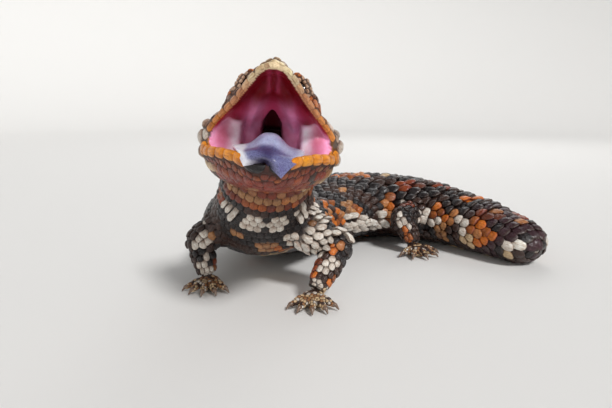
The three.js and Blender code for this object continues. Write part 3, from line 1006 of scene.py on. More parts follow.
def add_jowls(sites):
    """Big rounded scales on the bulge at each corner of the mouth."""
    (along, across, above), radii = JOWL
    for side in (-1, 1):
        centre = np.array([along, across * side, above])
        for polar, count in JOWL_RINGS:
            turn = np.arange(count) * 2 * math.pi / count
            flat = math.sin(math.radians(polar))
            out = side * math.cos(math.radians(polar))
            way = np.stack([np.cos(turn) * flat, np.full(count, out), np.sin(turn) * flat], -1)
            points = MOUTH_CORNERS + (centre + way * radii) @ UPPER
            u = 0.1 + way[:, 0] * radii[0] / MAP_WIDTH
            v = 0.5 + 0.4 * side + way[:, 2] * radii[2] / MAP_WIDTH
            sites.add(points, np.broadcast_to(-UPPER[0], points.shape), JOWL_SCALE, "jowl", 1, u, v)


def add_lip(sites, surface, first, last, angle, size, zone):
    """One row of scales along each half of a lip, as long as they are evenly spaced."""
    at = np.linspace(first, last, LINE_SAMPLES)
    for side in (-1, 1):
        line = surface(at, np.full(LINE_SAMPLES, angle * side))
        length = running_length(line)
        count = int(length[-1] / size)
        station = np.interp((np.arange(count) + 0.5) * length[-1] / count, length, at)
        points = surface(station, np.full(count, angle * side))
        ahead = surface(station + 0.05, np.full(count, angle * side)) - points
        sites.add(points, -ahead, size * 0.95, zone, 0, station / last, 0.5 + side * 0.495)




def chart_start(name):
    """Left legs have the first half of their map and right legs the second."""
    return 0.0 if name.endswith("left") else 0.5


def leg_size(station, angle):
    """Width of the scales of a leg, the same all round."""
    return np.interp(station, [0, 2, 3.3, 4], LEG_SCALES) + 0 * angle


def toe_size(station, angle):
    """Width of the plates of a toe, the same everywhere."""
    return TOE_SCALE + 0 * angle


def add_legs(sites):
    """Rings of scales from the top of each leg to its ankle."""
    for name, leg in LEGS.items():
        chart = (chart_start(name), 0, 0.28, 1)
        add_rings(sites, lambda s, a: leg_surface(leg, s, a), 0.6, 3.75, leg_size, name, 5, chart=chart)


def toe_surface(path, station, angle):
    """Points on a toe, with the angle 0 on top."""
    above, side = curve_axes(path, station, UP)
    radius = smooth([[r] for r in TOE_RADII], station)
    turn = np.radians(angle)[:, None]
    return smooth(path, station) + (side * np.sin(turn) + above * np.cos(turn)) * radius


def add_toes(sites):
    """Bands of small plates along the toes."""
    for name, leg in LEGS.items():
        for index in range(TOE_COUNT):
            path = toe_path(leg, index)[:4]
            chart = (chart_start(name) + 0.32, index / TOE_COUNT, 0.16, 0.18)
            add_rings(sites, lambda s, a: toe_surface(path, s, a), 0.3, 2.55, toe_size, name, TOE_RANK,
                      angles=(-120, 120), pace=0.8, chart=chart)


def add_lids(sites):
    """Two rings of small scales round each eye."""
    for side in (-1, 1):
        centre, outward = eye_axes(side)
        first = unit(np.cross(outward, UP))
        second = np.cross(outward, first)
        for radius, depth, size in LID_RINGS:
            count = int(2 * math.pi * radius / size)
            turn = np.arange(count) * 2 * math.pi / count
            ring = first * np.cos(turn)[:, None] + second * np.sin(turn)[:, None]
            points = centre + outward * depth + ring * radius
            u = 0.62 + radius * np.cos(turn) / MAP_WIDTH
            v = 0.5 + 0.3 * side + radius * np.sin(turn) / MAP_WIDTH
            sites.add(points, ring, size, "head", 1, u, v)


def settle(rows):
    """Puts the sites on the skin and drops those that are inside, off it or in the mouth."""
    value, _ = distance_and_slope(rows["point"])
    points, normals = onto_skin(rows["point"], 4)
    left, _ = distance_and_slope(points)
    keep = (value > -SITE_DEPTH) & (value < SITE_HEIGHT) & (np.abs(left) < SITE_MISS)
    keep &= bare(points) > 0
    rows = {key: values[keep] for key, values in rows.items()}
    rows["point"], rows["normal"] = points[keep], normals[keep]
    return rows


def bare(points):
    """Distance outside the places without scales: the mouth, eyes, nostrils and ears."""
    clear = open_mouth(points) - 0.2
    for side in (-1, 1):
        centre, outward = eye_axes(side)
        offset = points - centre
        depth = offset @ outward
        radial = np.linalg.norm(offset - depth[..., None] * outward, axis=-1)
        clear = np.minimum(clear, np.maximum(radial - LID_OPENING, -depth))
        for place, radius in OPENINGS:
            clear = np.minimum(clear, np.linalg.norm(points - on_head(place, side), axis=-1) - radius)
    return clear


def add_holes(rows):
    """Places that no scale may cover: the nostrils and the ears."""
    holes = {key: values[:4].copy() for key, values in rows.items()}
    spots = [on_head(place, side) for place, _ in OPENINGS for side in (-1, 1)]
    holes["point"], holes["normal"] = onto_skin(np.array(spots))
    holes["size"] = np.repeat([radius * 2.2 for _, radius in OPENINGS], 2)
    holes["zone"][:] = "hole"
    holes["rank"][:] = -1
    return {key: np.concatenate([rows[key], holes[key]]) for key in rows}


def tree_of(points):
    """A tree that finds the nearest of the points."""
    tree = KDTree(len(points))
    for index, point in enumerate(points):
        tree.insert(point, index)
    tree.balance()
    return tree


def drop_crowded(rows):
    """Where two rows of scales meet, the one of the lower rank goes."""
    tree = tree_of(rows["point"])
    size, rank = rows["size"], rows["rank"]
    keep = np.ones(len(size), bool)
    for index in np.lexsort((np.arange(len(size)), rank)):
        if not keep[index]:
            continue
        for _, other, distance in tree.find_range(rows["point"][index], size[index] * 1.2):
            if other != index and keep[other] and distance < 0.3 * (size[index] + size[other]):
                if rank[other] > rank[index] or (rank[other] == rank[index] and other > index):
                    keep[other] = False
    return {key: values[keep] for key, values in rows.items()}


def filler_size(points, near):
    """Size of the small scales between the rows: finest on feet and face."""
    feet = np.array([leg["foot"] for leg in LEGS.values()])
    apart = points[:, None, :2] - feet
    foot = np.hypot(apart[..., 0], apart[..., 1]).min(1)
    low = (foot < 13) & (points[:, 2] < 9)
    return np.where(low, 1.7, np.clip(near * 0.62, 1.7, 3.2))


def open_places(rows, skin_points):
    """Points of the skin that no scale of the rows covers: the point, its nearest scale and its size."""
    tree = tree_of(rows["point"])
    picks = skin_points[rng.permutation(len(skin_points))[:MOST_PICKS]]
    picks = picks[(bare(picks) > 0.2) & (picks[:, 2] > SKIN_ABOVE_FLOOR + 0.2)]
    nearest = np.array([tree.find(p)[1:] for p in picks])
    near = nearest[:, 0].astype(int)
    size = filler_size(picks, rows["size"][near])
    free = nearest[:, 1] > COVER * (rows["size"][near] + size)
    free &= ~(np.char.endswith(rows["zone"][near], "lip") & (in_mouth(picks) < 3))
    picks, near, size = picks[free], near[free], size[free]
    free = np.ones(len(picks), bool)
    for index, point in enumerate(picks):
        for _, other, distance in tree.find_n(point, 4):
            if distance < COVER * (rows["size"][other] + size[index]):
                free[index] = False
    return picks[free], near[free], size[free]


def spread_out(picks, size):
    """The picks that stay when each one clears its surroundings of those after it."""
    tree = tree_of(picks)
    taken = np.zeros(len(picks), bool)
    chosen = []
    for index in range(len(picks)):
        if taken[index]:
            continue
        chosen.append(index)
        for _, other, _ in tree.find_range(picks[index], size[index] * 0.86):
            taken[other] = True
    return chosen


def add_fillers(rows, skin_points):
    """Small scales wherever the rows leave the skin bare."""
    picks, near, size = open_places(rows, skin_points)
    chosen = spread_out(picks, size)
    points, normals = onto_skin(picks[chosen])
    extra = {key: values[near[chosen]] for key, values in rows.items()}
    lie = unit(extra["lie"])
    apart = (points - extra["point"]) / MAP_WIDTH
    extra["u"] = extra["u"] + (apart * lie).sum(-1)
    extra["v"] = extra["v"] + (apart * np.cross(extra["normal"], lie)).sum(-1)
    extra["point"], extra["normal"], extra["size"] = points, normals, size[chosen]
    extra["rank"] = np.full(len(chosen), FILLER_RANK)
    return {key: np.concatenate([rows[key], extra[key]]) for key in rows}


# Markings

# Blotches of the body: colour, station, degrees from the back towards the left, radius
LEFT_MARKS = [
    ("orange", 4.98, 81, 7.5), ("orange", 5.15, 70, 8), ("orange", 5.4, 84, 6), ("tan", 5.95, 66, 6),
    ("orange", 4.72, 62, 5), ("orange", 6.25, 74, 4.6), ("orange", 4.3, 84, 4),
    ("white", 5.79, 89, 6), ("white", 6.24, 95, 7.4), ("white", 7.2, 106, 5), ("white", 7.87, 95, 3.6),
    ("white", 7.64, 84, 3), ("orange", 8.36, 62, 4.5), ("orange", 8.4, 76, 4.5), ("orange", 8.42, 90, 4.5),
    ("rust", 8.75, 20, 8), ("orange", 6.93, 1, 8), ("tan", 6.2, 40, 5), ("white", 8.87, 58, 2.8),
    ("white", 9.2, 64, 2.6), ("white", 9.5, 58, 2.8), ("white", 9.9, 38, 3), ("orange", 9.67, 56, 3.4),
    ("orange", 10.0, 62, 4.6), ("orange", 10.42, 70, 5), ("white", 9.74, 79, 4.6), ("white", 10.0, 86, 4.6),
    ("tan", 10.12, 108, 7), ("white", 10.8, 73, 4), ("white", 11.0, 88, 4.8), ("cream", 11.05, 108, 5.5),
    ("white", 11.1, 48, 3), ("orange", 11.35, 70, 5.4), ("orange", 11.76, 76, 5), ("orange", 11.4, 96, 6),
    ("rust", 11.5, 25, 7), ("white", 12.38, 92, 3.4), ("white", 12.7, 88, 3.2), ("cream", 12.23, 116, 4.5),
]
BACK_MARKS = [
    ("orange", 3.4, -15, 6), ("cream", 4.2, 30, 5), ("rust", 4.7, -30, 8), ("orange", 5.6, 15, 6),
    ("cream", 6.1, -45, 6), ("orange", 7.3, -30, 8), ("cream", 7.9, 5, 4), ("rust", 9.4, -10, 7),
    ("cream", 10.1, -40, 5), ("orange", 10.5, 5, 5), ("cream", 11.6, -20, 4), ("rust", 12.4, 0, 6),
]
BELLY_MARKS = [
    ("cream", 3.6, 170, 9), ("orange", 4.5, -165, 7), ("cream", 5.4, 178, 10), ("cream", 6.4, -170, 9),
    ("orange", 7.2, 165, 8), ("cream", 8.1, 180, 10), ("cream", 9.2, -170, 8), ("cream", 10.3, 175, 7),
    ("cream", 11.4, -175, 6),
]
CHEST_MARKS = [
    ("white", 2.21, -161, 5), ("white", 2.23, 171, 5), ("tan", 2.88, -178, 5), ("orange", 2.95, 170, 3),
    ("white", 2.1, 138, 4.2), ("white", 1.75, 141, 3), ("white", 1.95, -126, 4.4), ("white", 2.4, 116, 3.6),
    ("white", 2.75, 150, 4), ("orange", 3.1, 152, 5), ("rust", 3.3, 150, 4), ("rust", 2.0, -101, 4.5),
    ("orange", 2.66, 89, 4), ("tan", 2.66, -140, 4), ("white", 2.5, 100, 3.4), ("rust", 1.6, 70, 5),
    ("orange", 1.2, -60, 5), ("cream", 0.9, 95, 4), ("cream", 1.0, -100, 4),
]

# Blotches of the legs: colour, station from hip 0 to ankle 4, degrees, radius
LEG_MARKS = {
    "foreleg_left": [
        ("white", 1.0, 130, 5.5), ("white", 1.4, 125, 5.5), ("white", 1.35, 155, 4.5), ("white", 1.1, 175, 5),
        ("white", 1.7, 60, 4.5), ("white", 0.9, 60, 5), ("tan", 0.85, 95, 2.5), ("orange", 2.4, 100, 3.6),
        ("white", 2.95, 80, 3), ("white", 3.2, 95, 3.2), ("white", 2.8, 50, 2.4), ("white", 3.6, 65, 3),
        ("white", 3.9, 90, 3.4), ("orange", 3.5, 20, 3.4), ("rust", 3.3, 150, 3.6), ("orange", 3.7, 130, 2.4),
        ("white", 2.0, -60, 4), ("orange", 3.0, -80, 4),
    ],
    "foreleg_right": [
        ("white", 2.3, 80, 3.4), ("white", 2.85, 58, 3.2), ("white", 3.45, 100, 3.2), ("white", 3.85, 65, 3),
        ("white", 1.15, 105, 5), ("white", 1.5, 65, 3.6), ("tan", 1.2, 45, 3), ("orange", 2.0, -60, 4),
        ("white", 3.0, -100, 3.5), ("rust", 3.5, 0, 3),
    ],
    "hindleg_left": [
        ("white", 2.3, 105, 4.4), ("white", 2.75, 80, 2.6), ("orange", 2.8, 125, 3.6),
        ("orange", 3.6, 115, 3.2), ("rust", 1.4, 80, 5), ("white", 1.9, -60, 4),
    ],
    "hindleg_right": [
        ("white", 2.1, 70, 4), ("orange", 3.0, 20, 4.5), ("white", 2.8, 110, 3), ("rust", 1.4, -60, 5),
    ],
}


def mark_points(surface, marks, mirror=1, shift=0.0):
    """Colours, places and radii of marks on a surface, as listed or mirrored and moved along it."""
    colours, station, angle, radii = zip(*marks)
    points = surface(np.array(station) + shift, np.array(angle, float) * mirror)
    return np.array([PALETTE[colour] for colour in colours]), points, np.array(radii, float)


def joined(sets):
    """Sets of marks as one."""
    return [np.concatenate(part) for part in zip(*sets)]


def body_marks():
    """The left side's marks, the same mirrored for the right side, and those in the middle."""
    middle = [mark_points(body_surface, marks) for marks in (BACK_MARKS, BELLY_MARKS, CHEST_MARKS)]
    left = mark_points(body_surface, LEFT_MARKS)
    right = mark_points(body_surface, LEFT_MARKS, -1, 0.35)
    return joined([left, right, *middle])


def leg_marks():
    """The marks of all four legs as one set."""
    sets = []
    for name, marks in LEG_MARKS.items():
        sets.append(mark_points(lambda s, a: leg_surface(LEGS[name], s, a), marks))
    return joined(sets)


def paint(colours, *coats):
    """Colours with each coat's own colour mixed in by its weight, from 0 to 1."""
    for colour, weight in coats:
        colours = colours + (np.asarray(colour) - colours) * np.clip(weight, 0, 1)[:, None]
    return colours


def by_marks(points, colours, marks, ragged=0.35):
    """Colours each point by the mark that it is deepest inside."""
    tints, centres, radii = marks
    distance = np.linalg.norm(points[:, None] - centres[None], axis=-1) / radii
    distance += ragged * rng.uniform(-0.5, 0.5, len(points))[:, None]
    nearest = distance.argmin(1)
    dice = rng.uniform(0, 1, len(points))
    inside = (distance[np.arange(len(points)), nearest] < 1) & (dice > 0.06)
    shade = tints[nearest]
    warm = shade[:, 2] < 0.2
    shade = paint(shade, (BROWN, warm * (dice < 0.3) * 0.55), (TAN, warm * (dice > 0.85) * 0.7))
    return np.where(inside[:, None], shade, colours)


def lip_tints(points):
    """Colours of the lips: tan in front to orange at the corners, and black at the front of the lower lip as
    painted shade below the tongue's tip.
    """
    along, _, above, fore, _, over = in_both_jaws(points)
    upper = paint((0.84, 0.32, 0.05),
                  ((0.74, 0.34, 0.15), step((along - 16) / 12)),
                  ((0.92, 0.74, 0.46), step((along - 33) / 8)))
    lower = paint((0.95, 0.34, 0.015),
                  ((0.30, 0.06, 0.015), step((fore - 34.5) / 1.5)),
                  # Black at the front of the lower lip: painted shade below the tongue's tip.
                  ((0.004, 0.001, 0.002), step((fore - 36) / 1.5)))
    return np.where((above + over > 0)[:, None], upper, lower)


def body_tints(rows, dice):
    """Dark body clouded with brown, purplish tail and a banded warm throat, whose pale band is darkened as
    painted shade under the jaw.
    """
    zone, station = rows["zone"], rows["station"]
    tail = (zone == "tail") & (dice < 0.75)
    cloud = wave(rows["point"], 22, 3) > 0.15
    colours = paint(DARK, (BROWN, cloud * 0.8), ((0.05, 0.018, 0.026), step((station - 10.6) / 0.8) * tail))
    throat = (zone == "neck") & (station < 1.64) & (np.abs(rows["angle"]) > 100)
    # The pale band across the throat is cream darkened to tan: painted shade under the jaw.
    band = np.where((np.abs(station - 1.24) < 0.15)[:, None], (0.46, 0.24, 0.10), (0.22, 0.035, 0.01))
    band = paint(band, (ORANGE, (dice < 0.25) * 0.45), (TAN, ((dice > 0.3) & (dice < 0.42)) * 0.6))
    return np.where(throat[:, None], band, colours)


def foot_tints(points, dice):
    """Feet speckled with cream, more of it in front."""
    pale = np.where(points[:, 1] < 20, 0.6, 0.38)
    speckled = np.where((dice < pale)[:, None], CREAM, BROWN)
    return paint(speckled, (TAN, (dice > 0.75) * 0.8), (WHITE, (dice < 0.16) * 1.0))


def head_tints(points, dice):
    """Orange crown clouded with brown and tan, with brows, snout and temples of their own, and a dark patch
    of painted shade on the right side in front of the eye.
    """
    along, across, above = jaw_place(UPPER, points)
    tint = paint(ORANGE,
                 (BROWN, step((wave(points, 9, 5) + 0.1) / 0.4) * 0.85),
                 (TAN, step((wave(points, 7, 8) - 0.3) / 0.2) * 0.8),
                 # Dark patch on the right side of the head, in front of the eye: painted shade.
                 (DARK, (bump(along, 32, 6) * bump(across, -10, 3) > 0.4) * 0.7),
                 ((0.60, 0.40, 0.30), (bump(along, 38, 6) * bump(across, 7, 3) > 0.4) * (dice < 0.8)))
    for side in (-1, 1):
        apart = np.linalg.norm(points - eye_axes(side)[0], axis=1)
        tint = paint(tint,
                     (ORANGE, (apart < 9) * (above > 8.5) * (dice < 0.8)),
                     ((0.70, 0.50, 0.36), (apart < 5.3) * 0.9))
    return paint(tint,
                 (CREAM, bump(along, 46, 5) * bump(across, 0, 6)),
                 (CREAM, (np.abs(across) > 19) & (above < 7) & (along < 12) & (dice < 0.6)))


def jowl_tints(points, dice):
    """White, some of it tan, and brown towards the front."""
    along = jaw_place(UPPER, points)[0]
    return paint(WHITE, (TAN, (dice < 0.2) * 0.5), ((0.60, 0.20, 0.05), step((along - 9) / 2)))


def jaw_tints(points, dice):
    """Rust below the lip, red and then pale towards the chin, and mixed on the cheeks."""
    fore, beside, over = jaw_place(LOWER, points)
    depth, out = -over, np.abs(beside)
    return paint((0.28, 0.042, 0.006),
                 ((0.48, 0.13, 0.02), (dice > 0.6) * bump(depth, 5.5, 3) * 0.9),
                 (CHIN_RED, bump(depth, 9.0, 3.4) * (dice < 0.75)),
                 (TAN, step((depth - 9.5) / 2) * (dice > 0.75) * 0.9),
                 (CREAM, step((depth - 13.5) / 1.5) * (dice > 0.3) * 0.8),
                 (TAN, step((out - 15) / 5) * (dice > 0.6) * 0.7),
                 (CREAM, (out > 20) & (fore < 14) & (dice < 0.45)),
                 (BROWN, (out > 16) & (dice > 0.8)))


def on_legs(zone):
    """Which scales belong to a leg."""
    return np.char.find(zone.astype(str), "leg") >= 0


def site_colours(rows):
    """A colour for each scale, by its zone and place, none quite like its neighbour's."""
    points, zone = rows["point"], rows["zone"]
    count = len(points)
    dice = rng.uniform(0, 1, count)
    legs = on_legs(zone)
    colours = by_marks(points, body_tints(rows, dice), body_marks())
    colours[legs] = by_marks(points[legs], colours[legs], leg_marks())
    for inside, tints in (
            (legs & (points[:, 2] < FOOT_HEIGHT), foot_tints(points, dice)),
            (zone == "head", head_tints(points, dice)),
            (zone == "jowl", jowl_tints(points, dice)),
            (np.isin(zone, ("upper_lip", "lower_lip")), lip_tints(points)),
            (zone == "jaw", jaw_tints(points, dice))):
        colours = np.where(inside[:, None], tints, colours)
    return np.clip(colours * rng.uniform(0.82, 1.12, (count, 1)), 0, 0.92)


# Scale plates

# Thickness, dome, keel, lift of the rear edge, overlap on the next scale, point at the rear, all for
# a scale of 5 mm, and the gap to the next scale
STYLES = {
    "back": (0.5, 0.65, 0.4, 1.15, 0.3, 0.16, 0.08),
    "flank": (0.45, 0.6, 0.25, 1.0, 0.3, 0.2, 0.1),
    "tail_end": (0.45, 0.3, 0.45, 0.9, 0.4, 0.35, 0.04),
    "belly": (0.4, 0.35, 0.0, 0.35, 0.2, 0.0, 0.08),
    "spike": (0.4, 0.45, 0.6, 3.2, 0.3, 1.5, 0.5),
    "head": (0.55, 0.35, 0.0, 0.0, 0.0, 0.0, 0.08),
    "upper_lip": (0.3, 0.1, 0.0, 0.0, 0.0, 0.0, 0.03),
    "lower_lip": (0.4, 0.35, 0.0, 0.0, 0.0, 0.0, 0.03),
    "jowl": (0.5, 0.9, 0.0, 0.0, 0.0, 0.0, 0.05),
    "jaw": (0.35, 0.3, 0.0, 0.7, 0.3, 0.04, 0.06),
    "leg": (0.4, 0.6, 0.1, 0.6, 0.22, 0.08, 0.1),
    "toe": (0.3, 0.3, 0.0, 0.2, 0.15, 0.0, 0.06),
    "small": (0.3, 0.35, 0.0, 0.0, 0.0, 0.0, 0.08),
}
LIP_REACH = {"upper_lip": 1.4, "lower_lip": 3.2}     # how far lip scales reach to either side
LIP_RIM = 0.93                        # keeps most of the plates' dark rim off the lips
LIP_SPOT = 0.4                        # the same for what is shaded by the spot on a plate
RIM_SHARPNESS = 9                     # the higher, the sharper the corners of the plates
BIG_PLATE = (18, (0.35, 0.62, 0.84, 0.95))               # sides, rings as shares of the rim
SMALL_PLATE = (10, (0.6, 0.92))
TRUNK_MIDDLE = 6                      # the station where the trunk's scales are parted
SKIRT_DEPTH = 0.45                    # how far the plates' lower edge is sunk in the skin
PATCH = 0.003                         # width of a scale's patch on the OFBake map


def site_styles(rows):
    """The style of each scale, by its zone, its place and, for the spikes, its colour."""
    zone, rank, turn = rows["zone"], rows["rank"], np.abs(rows["angle"])
    body = np.isin(zone, ("neck", "trunk", "tail"))
    style = zone.astype("U12")
    style[on_legs(zone)] = "leg"
    style[body] = "flank"
    style[body & (turn < 62)] = "back"
    style[(zone == "tail") & (rows["station"] > 11.3)] = "tail_end"
    style[body & (turn > 125)] = "belly"
    pale = rows["tint"].min(1) > 0.55
    beside = (zone == "neck") & (rows["station"] > 1.1) & (turn > 75) & (turn < 145)
    shoulder = (zone == "foreleg_left") & (rows["station"] < 2.0)
    serrated = (zone == "trunk") & (rows["station"] < 8.3) & (turn < 125) & (turn > 60)
    style[pale & (beside | shoulder | serrated)] = "spike"
    style[rank == TOE_RANK] = "toe"
    style[rank == FILLER_RANK] = "small"
    return style


def plate_outlines(rows, chosen, neighbours, directions):
    """Distance from each site to the rim of its plate, in each direction round it."""
    points, size = rows["point"], rows["size"]
    near = neighbours[chosen]
    offset = points[near] - points[chosen][:, None]
    lie, side = rows["lie"][chosen], rows["side"][chosen]
    x = (offset * lie[:, None]).sum(-1)
    y = (offset * side[:, None]).sum(-1)
    distance = np.linalg.norm(offset, axis=-1)
    share = size[chosen][:, None] / (size[chosen][:, None] + size[near])
    gap = np.array([STYLES[style][-1] for style in rows["style"][chosen]])[:, None]
    reach = np.maximum(distance * share - gap, 0.25)
    facing = np.cos(directions[None, None] - np.arctan2(y, x)[..., None]).clip(0.0005)
    height = np.array([LIP_REACH.get(style, np.inf) for style in rows["style"][chosen]])[:, None]
    crowd = ((facing / reach[..., None]) ** RIM_SHARPNESS).sum(1)
    crowd = crowd + (np.abs(np.sin(directions)) / height) ** RIM_SHARPNESS
    limit = np.where(np.isfinite(height), 1.0, 0.8) * size[chosen][:, None]
    return np.minimum(crowd ** (-1 / RIM_SHARPNESS), limit)


def plate_shapes(rows, chosen, neighbours, sides, rings):
    """Plates as rings of points from the middle out, over the rim and down to the skin.

    Gives each point's place along and across its plate, its height and its spot as a share of the
    plate, then how rough each plate is, and how far out the points of a plate are.
    """
    count = len(chosen)
    turn = np.arange(sides) * 2 * math.pi / sides
    rim = plate_outlines(rows, chosen, neighbours, turn)
    styles = np.array([STYLES[style] for style in rows["style"][chosen]])
    thick, dome, keel, lift, lap, point, _ = styles.T[..., None]
    rear = np.maximum(np.cos(turn), 0)[None]
    jitter, tilt, tip = rng.uniform(0.75, 1.25, (3, count, 1))
    rim = rim * (1 + lap * rear + point * tip * rear**5)
    wide = rows["size"][chosen][:, None]
    grow = (wide / 5).clip(0.42, 1.5)
    centre = np.zeros((count, 1, 2))
    local, spots = [centre], [centre]
    heights = [((thick + dome) * jitter + lift * tilt / 2.8 + keel * 0.7) * grow]
    for part in (*rings, 1.0):
        place = np.stack([rim * part * np.cos(turn), rim * part * np.sin(turn)], -1)
        run = part * np.cos(turn)[None]
        body = thick * (1 - 0.5 * part**8) + dome * (1 - part**2) ** 0.8
        ridge = keel * bump(place[..., 1] / wide, 0, 0.13) * (0.4 + 0.3 * (run + 1)) * (1 - 0.5 * part**4)
        raised = lift * tilt * ((np.abs(run + 1) / 2) ** 1.5 - 0.3 * np.maximum(-run, 0))
        local.append(place)
        heights.append((body * jitter + ridge + raised) * grow)
        spots.append(np.stack([run + 0 * rim, part * np.sin(turn) + 0 * rim], -1))
    under = 1 - 0.28 * rear * np.minimum(lift, 1)
    local += [local[-1] * 0.98, local[-1] * under[..., None]]
    heights += [heights[-1] - (0.15 + 0.25 * thick) * grow, np.full((count, sides), -SKIRT_DEPTH)]
    spots += [spots[-1], spots[-1]]
    mark = np.concatenate([[0.0], np.repeat([*rings, 1.0, 1.0, 1.0], sides)])
    rough = grow * np.where(keel > 0.2, 0.18, 0.07)
    return *(np.concatenate(parts, 1) for parts in (local, heights, spots)), rough, mark


def lay_on_skin(rows, chosen, local, height, rough, mark):
    """Points of the plates, laid on the skin under them and roughened inside the rim."""
    count, each = local.shape[:2]
    base = (rows["point"][chosen][:, None]
            + local[..., :1] * rows["lie"][chosen][:, None] + local[..., 1:] * rows["side"][chosen][:, None])
    placed, normals = onto_skin(base.reshape(-1, 3), 2)
    normals = unit(normals + 0.8 * np.repeat(rows["normal"][chosen], each, axis=0))
    rough = np.repeat(rough, each, axis=0)[:, 0]
    rough = rough * wave(placed, 1.5, 11) * np.tile(mark < 0.9, count)
    points = placed + normals * (height.reshape(-1) + rough)[:, None]
    points[:, 2] = np.maximum(points[:, 2], SCALE_ABOVE_FLOOR)
    return points


def plate_faces(count, each, sides):
    """The triangles round the middle of each plate and the quads between its rings."""
    ring = 1 + np.arange(each - 1).reshape(-1, sides)
    fan = np.stack([np.zeros(sides, int), ring[0], np.roll(ring[0], -1)], 1)
    starts = (np.arange(count) * each)[:, None, None]
    return [(starts + fan).reshape(-1, 3), (starts + ring_quads(ring)).reshape(-1, 4)]


def patch_places(rows, chosen, local):
    """Each plate as a small patch at its root's place on its zone's map."""
    span = np.abs(local).max((1, 2), keepdims=True)
    centre = np.stack([rows["u"][chosen], rows["v"][chosen]], -1) * 0.98 + 0.01
    centre = np.clip(centre, 0.002, 0.998)
    return (centre[:, None] + local / span * PATCH / 2).reshape(-1, 2)


def make_plates(name, rows, chosen, neighbours, sides, rings):
    """One joined mesh of plates that follow the skin under them."""
    local, height, spot, rough, mark = plate_shapes(rows, chosen, neighbours, sides, rings)
    count, each = local.shape[:2]
    points = lay_on_skin(rows, chosen, local, height, rough, mark)
    made = make_object(name, points, plate_faces(count, each, sides))
    plain = np.char.endswith(rows["style"][chosen], "lip")[:, None]
    tint = np.repeat(rows["tint"][chosen], each, axis=0)
    set_tint(made, tint, (mark * np.where(plain, LIP_RIM, 1.0)).ravel())
    own = np.repeat(rng.uniform(0, 1, count), each)
    spot = spot * np.where(plain, LIP_SPOT, 1.0)[..., None]
    set_spot(made, np.column_stack([spot.reshape(-1, 2), own]))
    set_bake_map(made, patch_places(rows, chosen, local))
    made.data.materials.append(SCALE_HORN)
    return made


def nearest_neighbours(points, count=10):
    """The nearest other points of each point, as their numbers."""
    tree = tree_of(points)
    return np.array([[found[1] for found in tree.find_n(p, count + 1)][1:] for p in points])


def make_coat(skin_points):
    """All the scales: their places and looks first, then a mesh for each zone and kind."""
    sites = Sites()
    add_lip(sites, upper_surface, 2.9, 8.5, 108, 4.4, "upper_lip")
    add_lip(sites, lower_surface, 2.1, 6.9, 88, 5.8, "lower_lip")
    add_lids(sites)
    add_head(sites)
    add_body(sites)
    add_legs(sites)
    add_toes(sites)
    rows = settle(sites.merged())
    rows = drop_crowded(add_holes(rows))
    rows = add_fillers(rows, skin_points)
    lie = rows["lie"] - rows["normal"] * (rows["lie"] * rows["normal"]).sum(-1, keepdims=True)
    rows["lie"] = unit(lie)
    rows["side"] = np.cross(rows["normal"], rows["lie"])
    rows["tint"] = site_colours(rows)
    rows["style"] = site_styles(rows)
    neighbours = nearest_neighbours(rows["point"])
    front = rows["station"] < TRUNK_MIDDLE
    zone = rows["zone"]
    groups = {
        "scales_head": np.isin(zone, ("head", "upper_lip", "jowl")),
        "scales_jaw": np.isin(zone, ("jaw", "lower_lip")),
        "scales_neck": zone == "neck",
        "scales_trunk_front": (zone == "trunk") & front,
        "scales_trunk_rear": (zone == "trunk") & ~front,
        "scales_tail": zone == "tail",
        "scales_forelegs": np.isin(zone, ("foreleg_left", "foreleg_right")),
        "scales_hindlegs": np.isin(zone, ("hindleg_left", "hindleg_right")),
    }
    for name, inside in groups.items():
        big = np.nonzero(inside & (rows["rank"] < TOE_RANK))[0]
        small = np.nonzero(inside & (rows["rank"] >= TOE_RANK))[0]
        make_plates(name, rows, big, neighbours, *BIG_PLATE)
        if len(small):
            make_plates(name + "_small", rows, small, neighbours, *SMALL_PLATE)
    return rows


# Skin and lining

def lining_colours(points):
    """Red walls and palate, with pink folds and cheeks. Painted shade darkens the slit, the pockets, the
    throat and, in part, the front of the palate, and a painted highlight lies along each cheek.
    """
    along, across, above, fore, _, over = in_both_jaws(points)
    side = np.abs(across)
    roof = above + over > 0
    middle = (along + fore) / 2
    walls = step(1 + UPPER_LIPS.outside(along, across, 0) / 9)
    fold = bump(side, fold_across(along), np.interp(along, [0, 10, 22], [5.0, 4.2, 2.8]))
    # The slit behind the nostrils is painted dark as the shade inside it.
    slit_shade = step((choana_width(along) + 0.5 - side) / 0.9) * step((17.5 - along) / 1.5) * roof
    cheek = step((side - 10.5) / 3) * step((12 - middle) / 3) * (np.abs(above + over) < 18)
    pillar = bump(side, 8.6, 3.4) * step((8 - middle) / 3)
    return paint((0.50, 0.05, 0.13),
                 ((0.45, 0.004, 0.012), walls * roof),
                 ((0.86, 0.30, 0.52), fold * roof * step((32 - along) / 14)),
                 # Dark magenta pockets beside the palate: painted shade in the hollows.
                 ((0.20, 0.001, 0.02), bump(side, 13.4, 2.4) * bump(along, 14, 7) * roof),
                 # Darker crimson towards the front of the palate: partly its own deep red, partly painted
                 # shade under the snout.
                 ((0.15, 0.0, 0.001), step((along - 16) / 12) * roof * 0.97),
                 ((0.34, 0.03, 0.07), bump(side, 1.6, 0.8) * step((along - 27) / 3) * roof),
                 ((0.09, 0.006, 0.010), slit_shade),
                 ((0.86, 0.36, 0.58), pillar),
                 ((1.0, 0.44, 0.70), cheek),
                 # Near-white strip along each cheek: a painted highlight.
                 ((1.0, 0.94, 1.0), bump(side, 13.8, 3.4) * cheek),
                 ((0.50, 0.10, 0.14), (~roof) * (side < 6)),
                 # Near-black throat behind the tongue: painted shade.
                 ((0.012, 0.001, 0.001), step((-3 - middle) / 2.5) * step((6 - side) / 1.5)))


